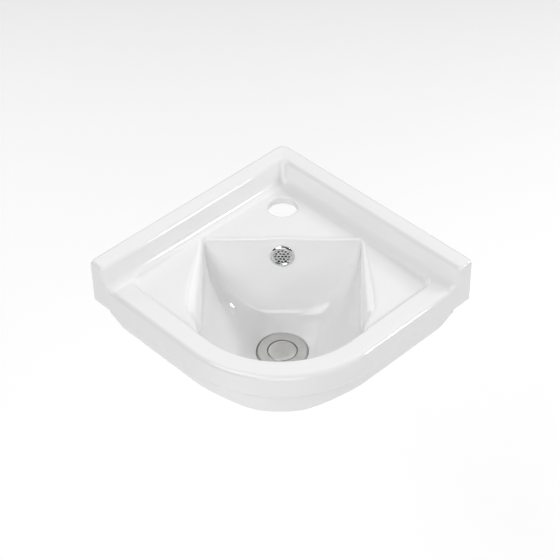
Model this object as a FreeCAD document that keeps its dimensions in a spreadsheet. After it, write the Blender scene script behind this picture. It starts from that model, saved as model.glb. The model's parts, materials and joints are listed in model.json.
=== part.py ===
"""Wall-hung corner basin in vitreous china, with its overflow insert and push-button waste.

The frame: the two walls meet at x = y = 0, the rim of the basin is the plane z = 0, +Z is up and
the rounded front points along -Y. The basin is the same on both sides of x = 0.
"""

import FreeCAD, Part

import math
import os
from types import SimpleNamespace

import Sketcher

# ---------------------------------------------------------------- driving sizes, in millimetres
SIZES = (
    # the plan of the basin
    ("wall_side", 300.0),
    ("front_radius", 135.0),
    ("back_radius", 9.0),
    # upstands along the two walls
    ("rail_height", 26.0),
    ("rail_top_width", 18.8),
    ("rail_slope_run", 7.7),
    ("rail_corner_radius", 9.0),
    ("rail_foot_radius", 9.0),
    ("rail_edge_radius", 3.5),
    # rim, upper band and skirt
    ("rim_width", 28.0),
    ("rim_edge_radius", 6.0),
    ("band_depth", 31.0),
    ("skirt_step", 2.5),
    ("skirt_depth", 52.0),
    ("skirt_wall_gap", 22.0),
    ("skirt_end_radius", 19.0),
    ("skirt_edge_radius", 3.0),
    # thickness of the china
    ("deck_wall", 11.0),
    ("hollow_roof", 23.0),
    ("tap_space_margin", 2.0),
    ("skirt_wall", 12.0),
    ("bowl_wall", 10.0),
    ("shell_edge_radius", 8.0),
    # ribs that stand against the walls below the deck
    ("rib_depth", 70.0),
    ("rib_start", 42.0),
    ("rib_end", 236.0),
    ("rib_corner_radius", 16.0),
    ("bolt_along_wall", 140.0),
    ("bolt_drop", 48.0),
    ("bolt_slot_length", 28.0),
    ("bolt_slot_height", 22.0),
    ("bolt_slot_radius", 9.0),
    # plastic bushes that centre the wall bolts in their slots
    ("bush_bore_radius", 5.5),
    ("bush_play", 0.3),
    ("bush_inset", 1.0),
    ("bush_flange_radius", 17.0),
    ("bush_flange_thick", 3.0),
    # shelves beside the bowl
    ("shelf_wall_gap", 31.0),
    ("shelf_slope", 3.4),
    ("shelf_corner_radius", 14.0),
    # the bowl
    ("chord_back", 141.0),
    ("bowl_half_width", 92.0),
    ("bowl_edge_radius", 4.0),
    ("bowl_depth", 110.0),
    # tap hole
    ("tap_back", 84.0),
    ("tap_radius", 17.5),
    # overflow
    ("overflow_drop", 26.0),
    ("overflow_seat_inset", 1.2),
    ("overflow_tilt", 4.0),
    ("overflow_radius", 11.0),
    ("duct_width", 34.0),
    ("duct_gap", 12.0),
    ("duct_wall", 7.0),
    ("duct_top", 14.0),
    ("duct_cover", 9.0),
    # overflow insert
    ("bezel_radius", 14.0),
    ("bezel_thick", 1.8),
    ("bezel_clearance", 0.7),
    ("bezel_tube_clearance", 0.3),
    ("bezel_tube_wall", 0.9),
    ("bezel_tube_length", 14.5),
    ("bezel_barb", 0.7),
    ("bezel_barb_length", 2.1),
    ("bezel_slot_width", 5.0),
    ("bezel_slot_root", 2.0),
    ("grate_radius", 10.4),
    ("grate_thick", 1.0),
    ("grate_recess", 1.4),
    ("grate_hole_radius", 0.95),
    ("grate_inner_ring", 3.9),
    ("grate_outer_ring", 7.6),
    ("overflow_washer_thick", 0.8),
    # waste hole and its boss
    ("waste_back", 213.0),
    ("waste_hole_radius", 23.0),
    ("waste_seat_radius", 34.0),
    ("waste_seat_depth", 3.5),
    ("boss_radius", 37.0),
    ("boss_height", 28.0),
    # waste body
    ("flange_radius", 31.0),
    ("flange_thick", 2.6),
    ("flange_washer_thick", 1.5),
    ("tail_radius", 20.955),
    ("tail_bore_radius", 17.4),
    ("tail_groove_radius", 19.4),
    ("tail_groove_width", 1.5),
    ("trap_thread_length", 18.5),
    ("cap_recess_depth", 5.0),
    ("seat_bore_radius", 15.0),
    ("seat_cone_depth", 3.5),
    ("window_width", 9.0),
    ("window_cover", 7.0),
    ("seat_lip", 0.8),
    ("spider_thick", 4.0),
    ("spider_arm", 4.0),
    ("spider_hub_radius", 8.0),
    ("stud_radius", 4.0),
    ("stud_length", 10.0),
    # pieces that clamp the waste from below
    ("cone_washer_height", 7.0),
    ("cone_washer_nose", 3.0),
    ("cone_washer_radius", 28.0),
    ("slip_washer_thick", 2.0),
    ("backnut_height", 9.0),
    ("backnut_across", 54.0),
    ("thread_clearance", 0.15),
    # plug and its push cartridge
    ("cap_radius", 17.4),
    ("cap_gap", 0.8),
    ("cap_sink", 0.3),
    ("cap_thick", 2.6),
    ("cap_dome", 0.6),
    ("cap_neck_radius", 9.0),
    ("cap_neck_length", 7.5),
    ("plug_seal_thick", 4.1),
    ("plug_seal_clearance", 0.3),
    ("plunger_radius", 3.0),
    ("plunger_thread_depth", 5.0),
    ("plunger_head_height", 3.0),
    ("push_travel", 9.0),
    ("sleeve_wall", 2.0),
    ("sleeve_bore_radius", 5.5),
    ("sleeve_lid", 1.6),
    ("sleeve_floor", 2.0),
    ("sleeve_neck_gap", 1.3),
    ("rotor_height", 3.0),
    ("rotor_wall", 1.3),
    ("rotor_lug_width", 2.0),
    ("running_clearance", 0.3),
    ("spring_length", 11.7),
    ("spring_wire_radius", 0.4),
    ("spring_turns", 4.0),
    ("locknut_across", 13.0),
    ("locknut_height", 5.0),
)

# The bowl is lofted through these levels. Each row: its depth and how far the back has come in, both as
# shares of the bowl's depth, the half width as a share of that at the rim, how far the front has come in as
# a share of the bowl's depth, then the radii of the front and of the side and back corners as shares of the
# half width at the rim.
BOWL_LEVELS = (
    ("top", -0.018, -0.002, 1.003, -0.004, 1.163, 0.065, 0.054),
    ("upper", 0.345, 0.027, 0.935, 0.073, 1.087, 0.24, 0.098),
    ("middle", 0.709, 0.082, 0.772, 0.273, 0.87, 0.37, 0.185),
    ("lower", 0.909, 0.182, 0.576, 0.518, 0.63, 0.283, 0.239),
    ("floor", 1.0, 0.318, 0.402, 0.727, 0.435, 0.174, 0.239),
)
LEVEL_COLUMNS = ("depth", "back", "side", "front", "front_radius", "side_radius", "back_radius")

PARTS_FOLDER = "parts"
WALL_ANGLE = -45.0
LEVEL_TOLERANCE = 0.01
RAIL_EDGE_REACH = 4.0


class Size:
    """A number that knows the sheet expression it comes from, so arithmetic keeps both."""

    def __init__(self, value, text):
        self.value = value
        self.text = text

    @staticmethod
    def of(other):
        """Return other as a Size."""
        return other if isinstance(other, Size) else Size(float(other), repr(float(other)))

    def __add__(self, other):
        other = Size.of(other)
        return Size(self.value + other.value, f"({self.text} + {other.text})")

    def __sub__(self, other):
        other = Size.of(other)
        return Size(self.value - other.value, f"({self.text} - {other.text})")

    def __mul__(self, other):
        other = Size.of(other)
        return Size(self.value * other.value, f"({self.text} * {other.text})")

    def __truediv__(self, other):
        other = Size.of(other)
        return Size(self.value / other.value, f"({self.text} / {other.text})")

    def __radd__(self, other):
        return Size.of(other) + self

    def __rsub__(self, other):
        return Size.of(other) - self

    def __rmul__(self, other):
        return Size.of(other) * self

    def __neg__(self):
        return 0.0 - self


ROOT2 = Size(math.sqrt(2.0), "sqrt(2)")
ROOT3 = Size(math.sqrt(3.0), "sqrt(3)")


# ---------------------------------------------------------------- the sheet
def make_sheet(doc):
    """Write every driving size to the sheet and return them as Size values."""
    sheet = doc.addObject("Spreadsheet::Sheet", "dims")
    rows = list(SIZES)
    for level in BOWL_LEVELS:
        rows += [(f"{level[0]}_{column}", value) for column, value in zip(LEVEL_COLUMNS, level[1:])]
    for row, (alias, value) in enumerate(rows, start=1):
        sheet.set(f"A{row}", alias)
        sheet.set(f"B{row}", repr(value))
        sheet.setAlias(f"B{row}", alias)
    doc.recompute()
    return SimpleNamespace(**{alias: Size(value, f"dims.{alias}") for alias, value in rows})


# ---------------------------------------------------------------- sketch helpers
def bind(thing, path, value):
    """Bind one property of a document object to a Size."""
    thing.setExpression(path, Size.of(value).text)


def new_body(doc, label, back=None):
    """Make a body; back is its distance from the wall corner along -Y."""
    body = doc.addObject("PartDesign::Body", label)
    body.Label = label
    if back is not None:
        bind(body, "Placement.Base.y", -back)
    return body


def new_sketch(body, name, plane="XY_Plane", base=(0, 0, 0), turn=None):
    """Attach a sketch to one of the body's own planes, moved by base and turned about an axis."""
    sketch = body.newObject("Sketcher::SketchObject", name)
    origin_plane = [item for item in body.Origin.OriginFeatures if item.Role == plane][0]
    sketch.AttachmentSupport = [(origin_plane, "")]
    sketch.MapMode = "FlatFace"
    rotation = FreeCAD.Rotation()
    if turn is not None:
        rotation = FreeCAD.Rotation(FreeCAD.Vector(*turn[0]), Size.of(turn[1]).value)
    corner = FreeCAD.Vector(*[Size.of(value).value for value in base])
    sketch.AttachmentOffset = FreeCAD.Placement(corner, rotation)
    for axis, value in zip("xyz", base):
        if isinstance(value, Size):
            bind(sketch, f"AttachmentOffset.Base.{axis}", value)
    if turn is not None and isinstance(turn[1], Size):
        bind(sketch, "AttachmentOffset.Rotation.Angle", turn[1])
    return sketch


def constrain(sketch, kind, *items):
    """Add a constraint whose last item is its Size."""
    size = Size.of(items[-1])
    index = sketch.addConstraint(Sketcher.Constraint(kind, *items[:-1], size.value))
    sketch.setExpression(f"Constraints[{index}]", size.text)


def place_point(sketch, geometry, position, x, y):
    """Hold a point of a geometry at x, y from the sketch's origin."""
    constrain(sketch, "DistanceX", -1, 1, geometry, position, x)
    constrain(sketch, "DistanceY", -1, 1, geometry, position, y)


def draw_circle(sketch, x, y, radius):
    """Draw a full circle held by its centre and radius."""
    centre = FreeCAD.Vector(Size.of(x).value, Size.of(y).value, 0)
    circle = Part.Circle(centre, FreeCAD.Vector(0, 0, 1), Size.of(radius).value)
    index = sketch.addGeometry(circle, False)
    place_point(sketch, index, 3, x, y)
    constrain(sketch, "Radius", index, radius)


def draw_outline(sketch, corners):
    """Draw a closed outline of lines through corners of (x, y, radius); radius None is sharp."""
    points = [FreeCAD.Vector(Size.of(x).value, Size.of(y).value, 0) for x, y, _ in corners]
    count = len(points)
    starts = list(points)
    ends = list(points)
    arcs = {}
    for index, (_, _, radius) in enumerate(corners):
        if radius is None:
            continue
        before = (points[index - 1] - points[index]).normalize()
        after = (points[(index + 1) % count] - points[index]).normalize()
        half = before.getAngle(after) / 2
        size = Size.of(radius).value
        reach = size / math.tan(half)
        ends[index] = points[index] + before * reach
        starts[index] = points[index] + after * reach
        centre = points[index] + (before + after).normalize() * (size / math.sin(half))
        left_turn = before.cross(after).z < 0
        angles = [math.atan2((p - centre).y, (p - centre).x) for p in (ends[index], starts[index])]
        if not left_turn:
            angles.reverse()
        circle = Part.Circle(centre, FreeCAD.Vector(0, 0, 1), size)
        arcs[index] = (sketch.addGeometry(Part.ArcOfCircle(circle, *angles), False), left_turn)
    lines = []
    for index in range(count):
        follower = (index + 1) % count
        lines.append(sketch.addGeometry(Part.LineSegment(starts[index], ends[follower]), False))
    for index, (x, y, radius) in enumerate(corners):
        arriving = lines[index - 1]
        leaving = lines[index]
        if radius is None:
            sketch.addConstraint(Sketcher.Constraint("Coincident", arriving, 2, leaving, 1))
            place_point(sketch, leaving, 1, x, y)
            continue
        corner = sketch.addGeometry(Part.Point(points[index]), True)
        place_point(sketch, corner, 1, x, y)
        sketch.addConstraint(Sketcher.Constraint("PointOnObject", corner, 1, arriving))
        sketch.addConstraint(Sketcher.Constraint("PointOnObject", corner, 1, leaving))
        arc, left_turn = arcs[index]
        first, last = (1, 2) if left_turn else (2, 1)
        sketch.addConstraint(Sketcher.Constraint("Tangent", arriving, 2, arc, first))
        sketch.addConstraint(Sketcher.Constraint("Tangent", arc, last, leaving, 1))
        constrain(sketch, "Radius", arc, radius)


# ---------------------------------------------------------------- feature helpers
def extrude(body, kind, name, sketch, length, reverse=False, both_ways=False):
    """Pad or pocket a sketch by a bound length."""
    feature = body.newObject(f"PartDesign::{kind}", name)
    feature.Profile = sketch
    feature.Type = "Length"
    feature.SideType = "Symmetric" if both_ways else "One side"
    feature.Reversed = reverse
    bind(feature, "Length", length)
    return feature


def loft(body, kind, name, sketches, ruled=False):
    """Loft a feature through sketches, first to last."""
    feature = body.newObject(f"PartDesign::{kind}", name)
    feature.Profile = sketches[0]
    feature.Sections = [(sketch, [""]) for sketch in sketches[1:]]
    feature.Ruled = ruled
    return feature


def revolve(body, kind, name, sketch, axis="Z_Axis"):
    """Turn a sketch a full circle about one of the body's own axes."""
    feature = body.newObject(f"PartDesign::{kind}", name)
    feature.Profile = sketch
    line = [item for item in body.Origin.OriginFeatures if item.Role == axis][0]
    feature.ReferenceAxis = (line, [""])
    feature.Angle = 360.0
    return feature


def polar(body, name, originals, count):
    """Repeat features evenly about the body's Z axis."""
    feature = body.newObject("PartDesign::PolarPattern", name)
    feature.Originals = originals
    line = [item for item in body.Origin.OriginFeatures if item.Role == "Z_Axis"][0]
    feature.Axis = (line, [""])
    feature.Angle = 360.0
    feature.Occurrences = count
    body.Tip = feature
    return feature


def mirror(body, name, originals):
    """Repeat features on the other side of the plane x = 0."""
    feature = body.newObject("PartDesign::Mirrored", name)
    feature.Originals = originals
    plane = [item for item in body.Origin.OriginFeatures if item.Role == "YZ_Plane"][0]
    feature.MirrorPlane = (plane, [""])
    body.Tip = feature
    return feature


def round_edges(doc, body, name, base, radius, chosen):
    """Round the edges of a feature for which chosen(edge) is true."""
    doc.recompute()
    names = [f"Edge{i}" for i, edge in enumerate(base.Shape.Edges, start=1) if chosen(edge)]
    if not names:
        raise RuntimeError(f"{name}: no edge to round")
    feature = body.newObject("PartDesign::Fillet", name)
    feature.Base = (base, names)
    bind(feature, "Radius", radius)
    return feature


def turned(doc, label, rings, back=None):
    """Make a turned body from its half section, a list of (radius, height) corners."""
    body = new_body(doc, label, back)
    sketch = new_sketch(body, f"{label}_section", "XZ_Plane")
    draw_outline(sketch, [(r, z, None) for r, z in rings])
    revolve(body, "Revolution", f"{label}_turning", sketch)
    return body


# ---------------------------------------------------------------- the china
def wall_point(along, off):
    """Return x, y of a point: its distance along the right wall and its distance off it."""
    return (along - off) / ROOT2, -(along + off) / ROOT2


def wall_sketch(body, name, level):
    """A level sketch whose x runs along the right wall and whose -y runs along the left wall."""
    return new_sketch(body, name, "XY_Plane", (0, 0, level), ((0, 0, 1), WALL_ANGLE))


def draw_plan(sketch, d, inset):
    """Draw the plan of the basin, its free sides drawn in by inset."""
    far = d.wall_side - inset
    draw_outline(
        sketch,
        [
            (0.0, 0.0, d.back_radius),
            (0.0, -far, None),
            (far, -far, d.front_radius - inset),
            (far, 0.0, None),
        ],
    )


def bowl_outline(d, level, wall):
    """Return the corners of the bowl at one level, moved out by the thickness of a wall."""
    name = level[0]
    back = d.bowl_depth * getattr(d, f"{name}_back")
    front = d.bowl_depth * getattr(d, f"{name}_front")
    half = d.bowl_half_width * getattr(d, f"{name}_side") + wall
    apex = (d.wall_side - d.rim_width - front + wall) * ROOT2
    chord = d.chord_back + back - wall
    back_radius = d.bowl_half_width * getattr(d, f"{name}_back_radius") + wall
    side_radius = d.bowl_half_width * getattr(d, f"{name}_side_radius") + wall
    front_radius = d.bowl_half_width * getattr(d, f"{name}_front_radius") + wall
    return [
        (half, -chord, back_radius),
        (-half, -chord, back_radius),
        (-half, half - apex, side_radius),
        (0.0, -apex, front_radius),
        (half, half - apex, side_radius),
    ]


def draw_bowl(body, d, prefix, wall, sink):
    """Draw every level of the bowl, each lowered by sink."""
    sketches = []
    for level in BOWL_LEVELS:
        depth = d.bowl_depth * getattr(d, f"{level[0]}_depth") + sink
        sketch = new_sketch(body, f"{prefix}_{level[0]}", "XY_Plane", (0, 0, -depth))
        draw_outline(sketch, bowl_outline(d, level, wall))
        sketches.append(sketch)
    return sketches


def make_basin(doc, d):
    """The basin: slab and upstands, skirt, hollow underside, bowl, overflow duct and holes."""
    body = new_body(doc, "basin")

    # the slab with its upstands
    sketch = wall_sketch(body, "slab_plan", -d.band_depth)
    draw_plan(sketch, d, 0.0)
    extrude(body, "Pad", "slab", sketch, d.band_depth + d.rail_height)
    rail_foot = d.rail_top_width + d.rail_slope_run
    beyond = d.wall_side + d.front_radius
    sections = []
    for name, off, level in (
        ("rail_foot_plan", rail_foot, 0.0),
        ("rail_top_plan", d.rail_top_width, d.rail_height),
    ):
        sketch = wall_sketch(body, name, level)
        draw_outline(
            sketch,
            [
                (off, -off, d.rail_corner_radius),
                (off, -beyond, None),
                (beyond, -beyond, None),
                (beyond, -off, None),
            ],
        )
        sections.append(sketch)
    recess = loft(body, "SubtractiveLoft", "rail_recess", sections, ruled=True)
    foot = round_edges(
        doc,
        body,
        "rail_foot_cove",
        recess,
        d.rail_foot_radius,
        lambda edge: is_flat_at(edge, 0.0) and is_along_wall(edge, rail_foot),
    )
    tops = round_edges(
        doc,
        body,
        "rail_top_edges",
        foot,
        d.rail_edge_radius,
        lambda edge: is_flat_at(edge, d.rail_height) and is_along_wall(edge, d.rail_top_width),
    )
    round_edges(
        doc,
        body,
        "rim_outer_edge",
        tops,
        d.rim_edge_radius,
        lambda edge: is_flat_at(edge, 0.0) and edge.CenterOfMass.y < -d.wall_side.value / 2,
    )

    # the skirt below the band, short of the walls, then the hollow underside
    sketch = wall_sketch(body, "skirt_plan", -d.skirt_depth)
    near = d.skirt_wall_gap
    far = d.wall_side - d.skirt_step
    draw_outline(
        sketch,
        [
            (near, -near, None),
            (near, -far, d.skirt_end_radius),
            (far, -far, d.front_radius - d.skirt_step),
            (far, -near, d.skirt_end_radius),
        ],
    )
    extrude(body, "Pad", "skirt", sketch, d.skirt_depth - d.band_depth)
    sketch = wall_sketch(body, "hollow_plan", -d.skirt_depth)
    near = d.skirt_wall
    far = d.wall_side - d.skirt_step - d.skirt_wall
    inner_radius = d.front_radius - d.skirt_step - d.skirt_wall
    draw_outline(
        sketch,
        [(near, -near, None), (near, -far, None), (far, -far, inner_radius), (far, -near, None)],
    )
    hollow = extrude(body, "Pocket", "hollow", sketch, d.skirt_depth - d.hollow_roof, reverse=True)
    round_edges(
        doc,
        body,
        "skirt_lower_edges",
        hollow,
        d.skirt_edge_radius,
        lambda edge: is_flat_at(edge, -d.skirt_depth),
    )
    sketch = new_sketch(body, "tap_space_plan", "XY_Plane", (0, 0, -d.hollow_roof))
    tip = d.skirt_wall * ROOT2
    shell_back = d.chord_back - d.bowl_wall - d.tap_space_margin
    draw_outline(
        sketch,
        [(0.0, -tip, None), (tip - shell_back, -shell_back, None), (shell_back - tip, -shell_back, None)],
    )
    extrude(body, "Pocket", "tap_space", sketch, d.hollow_roof - d.deck_wall, reverse=True)

    # a rib with a bolt hole against each wall
    sketch = new_sketch(body, "rib_elevation", "XZ_Plane", (0, 0, 0), ((0, 1, 0), WALL_ANGLE))
    corner = d.rib_corner_radius
    draw_outline(
        sketch,
        [
            (d.rib_start, -d.deck_wall, None),
            (d.rib_start, -d.rib_depth, corner),
            (d.rib_end, -d.rib_depth, corner),
            (d.rib_end, -d.deck_wall, None),
        ],
    )
    rib = extrude(body, "Pad", "wall_rib", sketch, d.skirt_wall)
    sketch = new_sketch(body, "bolt_slot_plan", "XZ_Plane", (0, 0, 0), ((0, 1, 0), WALL_ANGLE))
    near = d.bolt_along_wall - d.bolt_slot_length / 2
    far = d.bolt_along_wall + d.bolt_slot_length / 2
    low = -d.bolt_drop - d.bolt_slot_height / 2
    high = -d.bolt_drop + d.bolt_slot_height / 2
    corner = d.bolt_slot_radius
    draw_outline(sketch, [(near, low, corner), (far, low, corner), (far, high, corner), (near, high, corner)])
    slot = extrude(body, "Pocket", "bolt_slot", sketch, d.skirt_wall * 2, reverse=True)
    mirror(body, "other_wall_rib", [rib, slot])

    # the bowl's shell, the overflow duct behind it and the boss under it
    boss_depth = d.bowl_depth + d.boss_height
    shell = loft(body, "AdditiveLoft", "bowl_shell", draw_bowl(body, d, "shell", d.bowl_wall, d.bowl_wall))
    round_edges(
        doc,
        body,
        "shell_lower_edge",
        shell,
        d.shell_edge_radius,
        lambda edge: is_flat_at(edge, -d.bowl_depth - d.bowl_wall),
    )
    sketch = new_sketch(body, "boss_plan", "XY_Plane", (0, 0, -boss_depth))
    draw_circle(sketch, 0.0, -d.waste_back, d.boss_radius)
    extrude(body, "Pad", "waste_boss", sketch, boss_depth - d.bowl_depth)
    duct_front = d.chord_back - d.bowl_wall
    duct_back = duct_front - d.duct_gap
    housing_back = duct_back - d.duct_wall
    duct_roof = d.bowl_depth + d.duct_cover
    duct_floor = boss_depth - d.duct_cover
    housing_floor = duct_floor + d.duct_wall
    into_shell = d.bowl_wall / 2
    into_boss = d.waste_back - d.boss_radius + d.duct_wall
    sketch = new_sketch(body, "housing_section", "YZ_Plane")
    draw_outline(
        sketch,
        [
            (-housing_back, -d.deck_wall / 2, None),
            (-duct_front - into_shell, -d.deck_wall / 2, None),
            (-duct_front - into_shell, -d.bowl_depth / 2, None),
            (-into_boss, -d.bowl_depth - into_shell, None),
            (-into_boss, -housing_floor, None),
            (-housing_back, -housing_floor, d.duct_gap * 2 + d.duct_wall),
        ],
    )
    extrude(body, "Pad", "duct_housing", sketch, d.duct_width + d.duct_wall * 2, both_ways=True)

    # the shelves, the bowl itself, the duct and the holes
    sketch = new_sketch(body, "shelf_plan", "XY_Plane", (0, -d.chord_back, 0), ((1, 0, 0), d.shelf_slope))
    shelf_front = d.wall_side - d.rim_width
    chord_end = d.chord_back - d.shelf_wall_gap * ROOT2
    side_x, side_y = wall_point(shelf_front, d.shelf_wall_gap)
    front_y = d.bowl_half_width - shelf_front * ROOT2
    draw_outline(
        sketch,
        [
            (chord_end, 0.0, None),
            (-chord_end, 0.0, None),
            (-side_x, side_y + d.chord_back, d.shelf_corner_radius),
            (-d.bowl_half_width, front_y + d.chord_back, None),
            (d.bowl_half_width, front_y + d.chord_back, None),
            (side_x, side_y + d.chord_back, d.shelf_corner_radius),
        ],
    )
    extrude(body, "Pocket", "shelves", sketch, d.rail_height, reverse=True)
    bowl = loft(body, "SubtractiveLoft", "bowl", draw_bowl(body, d, "bowl", 0.0, 0.0))
    rim_back = d.bowl_half_width - (d.wall_side - d.rim_width) * ROOT2
    round_edges(
        doc,
        body,
        "rim_inner_edge",
        bowl,
        d.bowl_edge_radius,
        lambda edge: is_flat_at(edge, 0.0) and is_on_bowl_front(edge, d, rim_back),
    )
    hole_wall = d.waste_back - d.waste_hole_radius + d.duct_wall / 2
    sketch = new_sketch(body, "duct_section", "YZ_Plane")
    draw_outline(
        sketch,
        [
            (-duct_front, -d.duct_top, None),
            (-duct_back, -d.duct_top, None),
            (-duct_back, -duct_floor, d.duct_gap * 2),
            (-hole_wall, -duct_floor, None),
            (-hole_wall, -duct_roof, None),
            (-duct_front, -duct_roof, d.duct_gap),
        ],
    )
    extrude(body, "Pocket", "duct", sketch, d.duct_width, both_ways=True)
    seat_back = d.chord_back + d.overflow_seat_inset
    overflow_place = (0, -d.overflow_drop, seat_back)
    overflow_turn = ((-1, 0, 0), d.overflow_tilt)
    sketch = new_sketch(body, "overflow_seat_plan", "XZ_Plane", overflow_place, overflow_turn)
    draw_circle(sketch, 0.0, 0.0, d.bezel_radius + d.bezel_clearance)
    extrude(body, "Pocket", "overflow_seat", sketch, d.bezel_thick * 3, reverse=True)
    sketch = new_sketch(body, "overflow_hole_plan", "XZ_Plane", overflow_place, overflow_turn)
    draw_circle(sketch, 0.0, 0.0, d.overflow_radius)
    extrude(body, "Pocket", "overflow_hole", sketch, seat_back - duct_front + d.duct_gap / 2)
    sketch = new_sketch(body, "waste_seat_plan", "XY_Plane", (0, 0, -d.bowl_depth - d.waste_seat_depth))
    draw_circle(sketch, 0.0, -d.waste_back, d.waste_seat_radius)
    extrude(body, "Pocket", "waste_seat", sketch, d.waste_seat_depth * 2, reverse=True)
    sketch = new_sketch(body, "waste_hole_plan", "XY_Plane", (0, 0, -boss_depth))
    draw_circle(sketch, 0.0, -d.waste_back, d.waste_hole_radius)
    extrude(body, "Pocket", "waste_hole", sketch, boss_depth - d.bowl_depth, reverse=True)
    sketch = new_sketch(body, "tap_hole_plan")
    draw_circle(sketch, 0.0, -d.tap_back, d.tap_radius)
    extrude(body, "Pocket", "tap_hole", sketch, d.deck_wall * 2)
    return body


def is_flat_at(edge, level):
    """Tell whether an edge lies in the plane z = level."""
    box = edge.BoundBox
    level = Size.of(level).value
    return abs(box.ZMin - level) < LEVEL_TOLERANCE and abs(box.ZMax - level) < LEVEL_TOLERANCE


def is_along_wall(edge, off):
    """Tell whether an edge runs along a wall at a distance off it, or joins two such edges."""
    centre = edge.CenterOfMass
    near = min(abs(centre.x - centre.y), abs(centre.x + centre.y)) / ROOT2.value
    return abs(near - off.value) < RAIL_EDGE_REACH


def is_on_bowl_front(edge, d, rim_back):
    """Tell whether an edge belongs to the rim's inner arc in front of the bowl."""
    box = edge.BoundBox
    rim_middle = (d.wall_side - d.rim_width / 2) * ROOT2
    rim_front = ((d.front_radius - d.rim_width / 2) * (ROOT2 - 1.0) - rim_middle).value
    inside = max(abs(box.XMin), abs(box.XMax)) < d.bowl_half_width.value
    return inside and box.YMax < rim_back.value + LEVEL_TOLERANCE and box.YMin > rim_front


# ---------------------------------------------------------------- the bushes for the wall bolts
def make_bushes(doc, d):
    """A flanged bush behind each rib, with its collar in the slot."""
    collar = d.bolt_slot_height / 2 - d.bush_play
    back = d.skirt_wall + d.bush_flange_thick
    bushes = []
    for label, side in (("right_bolt_bush", 1.0), ("left_bolt_bush", -1.0)):
        bush = turned(
            doc,
            label,
            [
                (d.bush_bore_radius, d.bush_inset),
                (collar, d.bush_inset),
                (collar, d.skirt_wall),
                (d.bush_flange_radius, d.skirt_wall),
                (d.bush_flange_radius, back),
                (d.bush_bore_radius, back),
            ],
        )
        into_room = FreeCAD.Rotation(FreeCAD.Vector(0, 0, 1), FreeCAD.Vector(-side, -1, 0))
        bush.Placement = FreeCAD.Placement(FreeCAD.Vector(), into_room)
        bind(bush, "Placement.Base.x", d.bolt_along_wall * side / ROOT2)
        bind(bush, "Placement.Base.y", -d.bolt_along_wall / ROOT2)
        bind(bush, "Placement.Base.z", -d.bolt_drop)
        bushes.append(bush)
    return bushes


# ---------------------------------------------------------------- the overflow insert
def overflow_body(doc, d, label):
    """Make a body whose Z axis leaves the overflow hole into the bowl."""
    body = new_body(doc, label)
    seat_back = d.chord_back + d.overflow_seat_inset
    body.Placement = FreeCAD.Placement(
        FreeCAD.Vector(0, -seat_back.value, -d.overflow_drop.value),
        FreeCAD.Rotation(FreeCAD.Vector(1, 0, 0), 90 - d.overflow_tilt.value),
    )
    bind(body, "Placement.Base.y", -seat_back)
    bind(body, "Placement.Base.z", -d.overflow_drop)
    bind(body, "Placement.Rotation.Angle", 90 - d.overflow_tilt)
    return body


def make_overflow(doc, d):
    """The bezel with its sprung tube, the grate pressed into it and the washer behind it."""
    washer_front = d.overflow_washer_thick
    front = washer_front + d.bezel_thick
    tube = d.overflow_radius - d.bezel_tube_clearance
    tube_bore = tube - d.bezel_tube_wall
    grate_back = front - d.grate_recess - d.grate_thick
    barb = tube + d.bezel_barb
    bezel = overflow_body(doc, d, "overflow_bezel")
    sketch = new_sketch(bezel, "bezel_section", "XZ_Plane")
    section = [
        (tube_bore, -d.bezel_tube_length),
        (tube, -d.bezel_tube_length),
        (barb, -d.bezel_tube_length + d.bezel_barb),
        (barb, -d.bezel_tube_length + d.bezel_barb_length),
        (tube, -d.bezel_tube_length + d.bezel_barb_length),
        (tube, washer_front),
        (d.bezel_radius, washer_front),
        (d.bezel_radius, washer_front + d.bezel_thick / 3),
        (d.bezel_radius - d.bezel_thick * 2 / 3, front),
        (d.grate_radius + d.bezel_thick / 3, front),
        (d.grate_radius, front - d.bezel_thick / 3),
        (d.grate_radius, grate_back),
        (tube_bore, grate_back),
    ]
    draw_outline(sketch, [(r, z, None) for r, z in section])
    revolve(bezel, "Revolution", "bezel_turning", sketch)
    sketch = new_sketch(bezel, "bezel_slot_plan", "XZ_Plane")
    half = d.bezel_slot_width / 2
    low = -d.bezel_tube_length - d.bezel_barb
    root = -d.bezel_slot_root
    draw_outline(sketch, [(-half, low, None), (half, low, None), (half, root, None), (-half, root, None)])
    slot = extrude(bezel, "Pocket", "bezel_slot", sketch, d.bezel_radius)
    polar(bezel, "bezel_slots", [slot], 4)

    grate = overflow_body(doc, d, "overflow_grate")
    sketch = new_sketch(grate, "grate_plan", "XY_Plane", (0, 0, grate_back))
    draw_circle(sketch, 0.0, 0.0, d.grate_radius)
    extrude(grate, "Pad", "grate_disc", sketch, d.grate_thick)
    sketch = new_sketch(grate, "middle_hole_plan", "XY_Plane", (0, 0, front))
    draw_circle(sketch, 0.0, 0.0, d.grate_hole_radius)
    extrude(grate, "Pocket", "middle_hole", sketch, d.bezel_thick * 2)
    for name, ring, count in (("inner", d.grate_inner_ring, 6), ("outer", d.grate_outer_ring, 12)):
        sketch = new_sketch(grate, f"{name}_hole_plan", "XY_Plane", (0, 0, front))
        draw_circle(sketch, ring, 0.0, d.grate_hole_radius)
        hole = extrude(grate, "Pocket", f"{name}_hole", sketch, d.bezel_thick * 2)
        polar(grate, f"{name}_holes", [hole], count)

    washer = overflow_body(doc, d, "overflow_washer")
    sketch = new_sketch(washer, "overflow_washer_plan")
    draw_circle(sketch, 0.0, 0.0, d.bezel_radius - d.bezel_clearance)
    draw_circle(sketch, 0.0, 0.0, d.overflow_radius)
    extrude(washer, "Pad", "overflow_washer_disc", sketch, d.overflow_washer_thick)
    return [bezel, grate, washer]


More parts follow.
